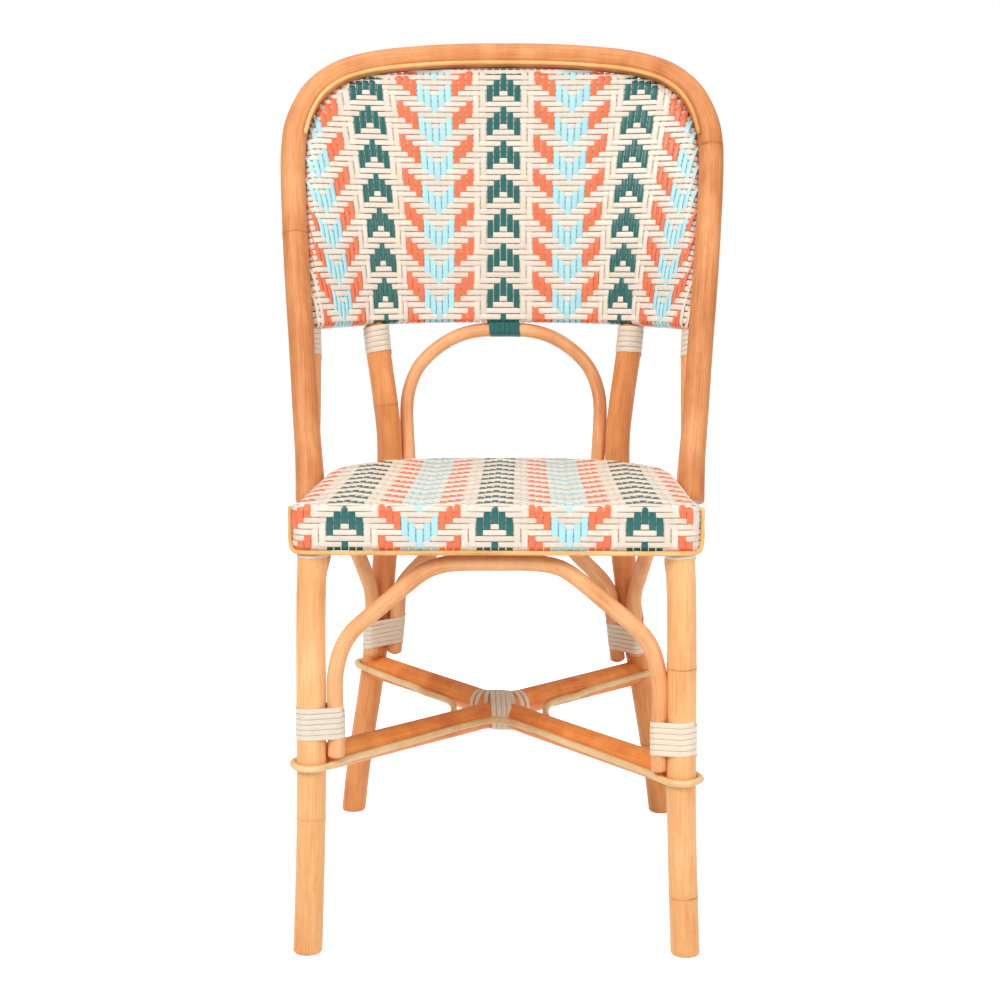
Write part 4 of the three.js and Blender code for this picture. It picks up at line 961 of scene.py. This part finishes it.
def seatStrand(place, normal, length, marks, states, folds, axis, width, tone):
    stations = halfWay(marks)
    rises = betweenStates(np.array(states)) * weave["lift"]
    first = seat["foldEnd"] if folds[0] else max(marks[0] - seat["pastMark"], seat["freeEnd"])
    last = length[-1] - seat["foldEnd"]
    if not folds[1]:
        last = min(marks[-1] + seat["pastMark"], length[-1] - seat["freeEnd"])
    stations = np.concatenate([[first], stations, [last]])
    rises = np.concatenate([[0.0 if folds[0] else -1.0], rises, [0.0 if folds[1] else -1.0]])
    at = readAlong(stations, length, place)
    out = unit(readAlong(stations, length, normal))
    level = np.maximum(np.hypot(out[:, 0], out[:, 1]), 1e-6)
    facing = np.clip(abs(out[:, axis]) / level, seat["leastFacing"], 1)
    widths = width * (1 + (1 / facing - 1) * (1 - out[:, 2].clip(0, 1)))
    # on top the strands across lie a little higher than the ones from front to back
    rises += (1 - 2 * axis) * seat["weftRise"] * out[:, 2].clip(0, 1)
    return strandRun(at + out * (rises - seat["inset"])[:, None], out, widths, tone)

foldMarks = []  # where strands fold down, and over which rings the rings pass

def noteFold(x, y, states):
    foldMarks.append((x, y, [not state for state in states]))

def seatWarp(column, rowYs, chance):
    edge = float(columnX(column, 0.0)), float(columnX(column, 300.0))
    y = edgeSteps(frontEdge(edge[0]), rearEdge(edge[1]))
    folds = (True, abs(edge[1]) < seat["rearHalf"] - seat["warpFold"] * seat["rearCorner"])
    place, normal, length = foldedLine(columnX(column, y), y, folds)
    front = ringStations(place, length, 0, y[0])
    marks = [(station, warpOver(column, ring)) for ring, station in enumerate(front)][::-1]
    rear = ringStations(place, length, -1, y[-1]) if folds[1] else [length[-1] + 1.5]
    onTop = slice(seat["foldSteps"], seat["foldSteps"] + len(y))
    lastRow = 0
    for index, rowY in enumerate(rowYs):
        station = float(np.interp(rowY, place[onTop, 1], length[onTop]))
        if front[0] + 4 < station < rear[0] - seat["apart"]:
            marks.append((station, warpOver(column, -1 - index)))
            lastRow = -1 - index
    noteFold(edge[0], y[0], [warpOver(column, ring) for ring in range(seat["rings"])])
    if folds[1]:
        states = [warpOver(column, lastRow - 1 - ring) for ring in range(seat["rings"])]
        marks += zip(rear, states)
        noteFold(edge[1], y[-1], states)
    return seatStrand(place, normal, length, *zip(*marks), folds, 1, seat["strandWidth"],
                      warpTone(column, chance, plain=column == seat["columns"]))

def seatWeft(index, y, chance):
    side = sideEdge(y)
    x = edgeSteps(-side, side)
    fold = 0 <= y < seat["cornerBack"] + seat["weftFold"] * seat["rearCorner"]
    place, normal, length = foldedLine(x, np.full(len(x), y), (fold, fold))
    marks = []
    low, high = 0.0, length[-1]
    if fold:
        left, right = (ringStations(place, length, end, y) for end in (0, -1))
        states = [warpOver(index, ring) for ring in range(seat["rings"])]
        marks = list(zip(left, states))[::-1]
        low, high = left[0], right[0]
        for way in (-1, 1):
            noteFold(way * side, y, states)
    first = seat["foldSteps"] * fold
    onTop = slice(first, first + len(x))
    for column in range(-seat["columns"], seat["columns"] + 1):
        station = float(np.interp(columnX(column, y), place[onTop, 0], length[onTop]))
        if low + seat["apart"] < station < high - seat["apart"]:
            marks.append((station, not warpOver(column, -1 - index)))
    if fold:
        marks += zip(right, states)
    return seatStrand(place, normal, length, *zip(*marks), (fold, fold), 0, seat["rowWidth"],
                      shaded(weave["beige"], chance))

def seatRings(chance):
    # strands that run round the skirt, over and under the ones that fold down
    length = lengthsAlong(outline)
    crossings = []
    for x, y, states in foldMarks:
        distance = np.linalg.norm(outline - (x, y), axis=1)
        k = int(np.argmin(distance))
        near = [j for j in (k - 1, k + 1) if 0 <= j < len(outline)]
        best = min(near, key=lambda j: distance[j])
        share = distance[k] / (distance[k] + distance[best])
        crossings.append((length[k] + (length[best] - length[k]) * share, states))
    crossings.sort(key=lambda crossing: crossing[0])
    kept = [crossings[0]]
    for crossing in crossings[1:]:
        if crossing[0] - kept[-1][0] > seat["closest"]:
            kept.append(crossing)
    at = np.array([station for station, states in kept])
    stations = halfWay(np.concatenate([at, [at[0] + length[-1]]])) % length[-1]
    plan = readAlong(stations, length, outline)
    outward = fromEdge(plan[:, 0], plan[:, 1])[1]
    bend = bendRadius(plan[:, 1])
    runs = []
    for ring in range(seat["rings"]):
        over = [states[ring] for station, states in kept]
        rises = betweenStates(np.array(over + [over[0]])) * weave["lift"]
        drop = ringDrop(ring, plan[:, 1])
        rise = np.clip(1 - drop / bend, 0, 1)
        lean = np.sqrt(1 - rise ** 2)
        normals = np.column_stack([outward * lean[:, None], rise])
        place = np.column_stack([plan - outward * (bend * (1 - lean))[:, None], seatLevel(plan[:, 1]) - drop])
        path = place + normals * (rises - seat["inset"])[:, None]
        runs.append(strandRun(path, normals, seat["ringWidth"], shaded(weave["beige"], chance)))
    # a narrow strand inside the lower edge closes it
    normals = np.column_stack([outward, 0 * bend])
    path = np.column_stack([plan, seatLevel(plan[:, 1]) - seat["skirt"] + seat["footDrop"]])
    path -= normals * seat["footInside"]
    runs.append(strandRun(path, normals, seat["footWidth"], shaded(weave["beige"], chance)))
    return runs

rowYs = [min(y, seat["lastRow"]) for y in np.arange(seat["firstRow"], seat["back"], seat["rowPitch"])]
seatWarps = [seatWarp(column, rowYs, chance) for column in range(-seat["columns"], seat["columns"] + 1)]
seatWefts = [seatWeft(index, y, chance) for index, y in enumerate(rowYs)]
strandPiece("seat_warps", seatWarps, "seat_weave")
strandPiece("seat_wefts", seatWefts)
strandPiece("seat_skirt_rings", seatRings(chance))

# the two bent rails follow the seat's outline
ways = np.gradient(outline, axis=0)
railPlan = outline - unit(np.column_stack([ways[:, 1], -ways[:, 0]])) * seat["railInset"]
railPlan = railPlan[railPlan[:, 1] > seat["railStart"]]
for level, drop in seat["railDrops"].items():
    railLine = np.column_stack([railPlan, seatLevel(railPlan[:, 1]) - drop])
    addPole("seat_rail_" + level, smoothLine(railLine, 8), seat["railRadius"], seam=(0, 0, 1), around=20)
print("seat woven")

# Lashings and wraps
strips = {
    "thickness": 0.6, "room": 0.2, "stepsPerTurn": 48, "share": 0.98,
    "beige": (240, 225, 203), "green": (14, 104, 98),
    "profile": [(-0.5, 0.15), (-0.46, 0.8), (-0.25, 1.0), (0.25, 1.0), (0.46, 0.8), (0.5, 0.15), (0.25, 0.0),
                (-0.25, 0.0)],
}
windings = {  # where each one starts, its turns and its pitch
    "frontLash": {"left": (216.8, 5.9, 5.3), "right": (202.3, 5.9, 5.6)},
    "rearLash": {"left": (221.8, 6.1, 5.5), "right": (216.4, 6.1, 5.5)},
    "rearTilt": {"left": 0.17, "right": -0.17},
    "legTop": (396.4, 1.15, 3.3),
    "upright": (558.0, 5.2, 5.9),
    "hoop": (558.5, 5.2, 5.9),
    "cross": (-8.8, 3.7, 5.6),
    "band": (-23.5, 8.4, 5.6),
    "green": (-14.9, 6.02, 5.85),
    # radii that the strips keep where they lie further out than the pole
    "reach": {"crossFront": 13.8, "crossRear": 14.4, "band": 13.9, "rearArch": 9.35, "backRail": 6.0},
    "backRail": [(-143.5, 394.9, 598.9), (-89.3, 420.2, 598.9), (-30, 428.9, 598.9),
                 (30, 428.9, 598.9), (89.3, 420.2, 598.9), (143.5, 394.9, 598.9)],
}

def crossingOf(line, level, axis):
    past = line[:, axis] - level
    k = int(np.flatnonzero(past[1:] * past[:-1] <= 0)[0]) + 1
    share = past[k - 1] / (past[k - 1] - past[k])
    return line[k - 1] + (line[k] - line[k - 1]) * share, unit(line[min(k + 1, len(line) - 1)] - line[k - 1])

def windingRun(poles, axis, start, turns, pitch, tone, tilt=0.0):
    rise = pitch * turns
    along = crossingOf(poles[0][0], start + rise / 2, axis)[1]
    along = along * (1 if along[axis] > 0 else -1)
    side = np.array([1.0, 0, 0]) if axis == 2 else np.array([0, 1.0, 0])
    side = unit(side - along * side.dot(along))
    up = np.cross(along, side)
    steps = strips["stepsPerTurn"]
    profile = np.array(strips["profile"] + strips["profile"][:1])
    rings = []
    for i in range(int(turns * steps) + 1):
        level = start + along[axis] * pitch * i / steps
        turn = 2 * math.pi * i / steps
        out = side * math.cos(turn) + up * math.sin(turn)
        base = crossingOf(poles[0][0], level, axis)[0]
        best = None
        for line, radius in poles:
            at = crossingOf(line, level, axis)[0]
            at = at - along * (at - base).dot(along)
            if best is None or at.dot(out) + radius > best[0]:
                best = (at.dot(out) + radius, at, radius)
        inner = best[2] + strips["room"]
        rings.append([best[1] + out * (inner + high * strips["thickness"])
                      + along * (wide * pitch * strips["share"]) for wide, high in profile])
    rings = np.array(rings)
    length = lengthsAlong(rings[:, 2])
    rings[..., 2] += tilt * (rings[..., 0] - base[0])
    return {"rings": rings, "across": profile[:, 0] * pitch, "length": length, "tone": tone}

def coilRun(line, radius, start, turns, pitch, tone):
    # a strip wound along a bent pole, square to it everywhere; start counts from the pole's middle
    along, side = carriedSides(line, (0, 0, 1))
    up = np.cross(along, side)
    length = lengthsAlong(line)
    profile = np.array(strips["profile"] + strips["profile"][:1])
    steps = np.arange(int(turns * strips["stepsPerTurn"]) + 1) / strips["stepsPerTurn"]
    at = length[np.argmin(abs(line[:, 0]))] + start + pitch * steps
    here, way, first, second = (readAlong(at, length, rows) for rows in (line, along, side, up))
    turn = (2 * math.pi * steps)[:, None]
    out = first * np.cos(turn) + second * np.sin(turn)
    reach = radius + strips["room"] + profile[:, 1] * strips["thickness"]
    rings = (here[:, None] + out[:, None] * reach[None, :, None]
             + way[:, None] * (profile[:, 0] * pitch * strips["share"])[None, :, None])
    return {"rings": rings, "across": profile[:, 0] * pitch,
            "length": lengthsAlong(rings[:, 2]), "tone": tone}

def windingPiece(name, *wound, tilt=0.0, more=(), colour="beige", slot="binding_strip", solid=True):
    runs = [windingRun(*wound, shaded(strips[colour], chance), tilt)]
    runs += [coilRun(*one, shaded(strips[colour], chance)) for one in more]
    piece = gridMesh(name + "_strip", runs, len(strips["profile"]))
    dressed(piece, stripFinish, slot, *([name] if solid else []))

frontArchSides = {"left": frontArchLine, "right": frontArchLine[::-1]}
rearArchSides = {"left": rearArchLine, "right": rearArchLine[::-1]}
reach = windings["reach"]
for side in sidesOfChair:
    front = [(frontLegs[side], legs["frontRadius"]), (frontArchSides[side], arches["frontRadius"]),
             (sideArchLines[side][::-1], arches["lowRadius"])]
    rear = [(rearLegs[side], legs["rearRadius"]), (sideArchLines[side], arches["lowRadius"]),
            (rearArchSides[side], reach["rearArch"])]
    windingPiece("lashing_front_" + side, front, 2, *windings["frontLash"][side])
    windingPiece("leg_top_binding_" + side, front[:1], 2, *windings["legTop"], solid=False)
    windingPiece("lashing_rear_" + side, rear, 2, *windings["rearLash"][side],
                 tilt=windings["rearTilt"][side])
    windingPiece("upright_wrap_" + side, rear[:1], 2, *windings["upright"])
    rimLine = innerLine if side == "left" else innerLine[::-1]
    windingPiece("hoop_wrap_" + side, [(rimLine, hoops["innerRadius"])], 2, *windings["hoop"])
windingPiece("lashing_cross", [(crossFront, reach["crossFront"]), (crossRear, reach["crossRear"])], 0,
             *windings["cross"], more=[(crossRear, reach["band"], *windings["band"])])
backRailLine = smoothLine(windings["backRail"], 3)
windingPiece("lashing_green", [(midLine, arches["midRadius"]), (backRailLine, reach["backRail"])], 0,
             *windings["green"], colour="green", slot="binding_strip_green")
print("lashings wound")

def plainCane(name, pale, middle, dark):
    made, tree, surface = material(name)
    where = node(tree, "ShaderNodeTexCoord").outputs["Object"]
    fibres = stretchedNoise(tree, where, (30, 260, 260), 3.0)
    colour = ramp(tree, fibres, [(0.35, linear(*dark)), (0.5, linear(*middle)), (0.65, linear(*pale))])
    tree.links.new(colour, surface.inputs["Base Color"])
    tree.links.new(maths(tree, "MULTIPLY_ADD", fibres, 0.2, 0.3), surface.inputs["Roughness"])
    bump = node(tree, "ShaderNodeBump", {"Height": fibres, "Strength": 0.15, "Distance": 0.0004})
    tree.links.new(bump.outputs[0], surface.inputs["Normal"])
    return made

# Rails that mostly hide inside the weave keep their solids, with a cane finish
railFinish = plainCane("cane_rail", (246, 196, 134), (232, 170, 104), (206, 138, 78))
hiddenRails = ["seat_front_rail_upper", "seat_front_rail_lower",
               "back_rail_left", "back_rail_middle", "back_rail_right"]
for name in hiddenRails:
    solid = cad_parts[name]
    solid.data.materials.clear()
    solid.data.materials.append(railFinish)

# Studio
studio = {
    "floor": 6.0, "floorGrey": 0.82, "floorWhite": 0.85,
    "camera": (0.0315, -2.1234, 0.7561), "lens": 72.78, "tilt": 9.094, "yaw": 0.84,
    "worldStrength": 0.36,
    "lamps": [
        {"name": "key", "at": (-1.5, -2.4, 2.6), "size": 1.6, "power": 74},
        {"name": "fill", "at": (2.2, -1.8, 1.6), "size": 1.8, "power": 30},
        {"name": "top", "at": (0.0, 0.4, 3.2), "size": 2.4, "power": 30},
    ],
}

def whiteForCamera(tree, shade, strength):
    path = node(tree, "ShaderNodeLightPath")
    seen = maths(tree, "MAXIMUM", path.outputs["Is Camera Ray"],
                 maths(tree, "MAXIMUM", path.outputs["Is Glossy Ray"], path.outputs["Is Transmission Ray"]))
    white = node(tree, "ShaderNodeEmission", {"Color": (1, 1, 1, 1),
                                              "Strength": maths(tree, "MULTIPLY", seen, strength)})
    return node(tree, "ShaderNodeAddShader", {0: shade, 1: white.outputs[0]}).outputs[0]

def buildStudio():
    bm = bmesh.new()
    bmesh.ops.create_grid(bm, x_segments=1, y_segments=1, size=studio["floor"])
    mesh = bpy.data.meshes.new("floor")
    bm.to_mesh(mesh)
    bm.free()
    floor = bpy.data.objects.new("floor", mesh)
    bpy.context.scene.collection.objects.link(floor)
    made = bpy.data.materials.new("floor_white")
    made.use_nodes = True
    tree = made.node_tree
    tree.nodes.clear()
    output = tree.nodes.new("ShaderNodeOutputMaterial")
    matte = node(tree, "ShaderNodeBsdfDiffuse", {"Color": (*[studio["floorGrey"]] * 3, 1)})
    tree.links.new(whiteForCamera(tree, matte.outputs[0], studio["floorWhite"]), output.inputs["Surface"])
    mesh.materials.append(made)

    world = bpy.data.worlds.new("studio")
    bpy.context.scene.world = world
    world.use_nodes = True
    tree = world.node_tree
    tree.nodes.clear()
    output = tree.nodes.new("ShaderNodeOutputWorld")
    path = node(tree, "ShaderNodeLightPath")
    seen = maths(tree, "MAXIMUM", path.outputs["Is Camera Ray"], path.outputs["Is Transmission Ray"])
    strength = maths(tree, "MULTIPLY_ADD", seen, 1.0 - studio["worldStrength"], studio["worldStrength"])
    sky = node(tree, "ShaderNodeBackground", {"Color": (1, 1, 1, 1), "Strength": strength})
    tree.links.new(sky.outputs[0], output.inputs["Surface"])

    for lamp in studio["lamps"]:
        light = bpy.data.lights.new(lamp["name"], "AREA")
        light.energy = lamp["power"]
        light.size = lamp["size"]
        made = bpy.data.objects.new(lamp["name"], light)
        made.location = lamp["at"]
        aim = Vector((0, 0, 0.5)) - Vector(lamp["at"])
        made.rotation_euler = aim.to_track_quat("-Z", "Y").to_euler()
        bpy.context.scene.collection.objects.link(made)

    data = bpy.data.cameras.new("camera")
    data.sensor_width = 36
    data.lens = studio["lens"]
    camera = bpy.data.objects.new("camera", data)
    camera.location = studio["camera"]
    camera.rotation_euler = (math.radians(90 - studio["tilt"]), 0, math.radians(studio["yaw"]))
    bpy.context.scene.collection.objects.link(camera)
    bpy.context.scene.camera = camera
    view = bpy.context.scene.view_settings
    view.view_transform = "Standard"

buildStudio()
print("studio set")
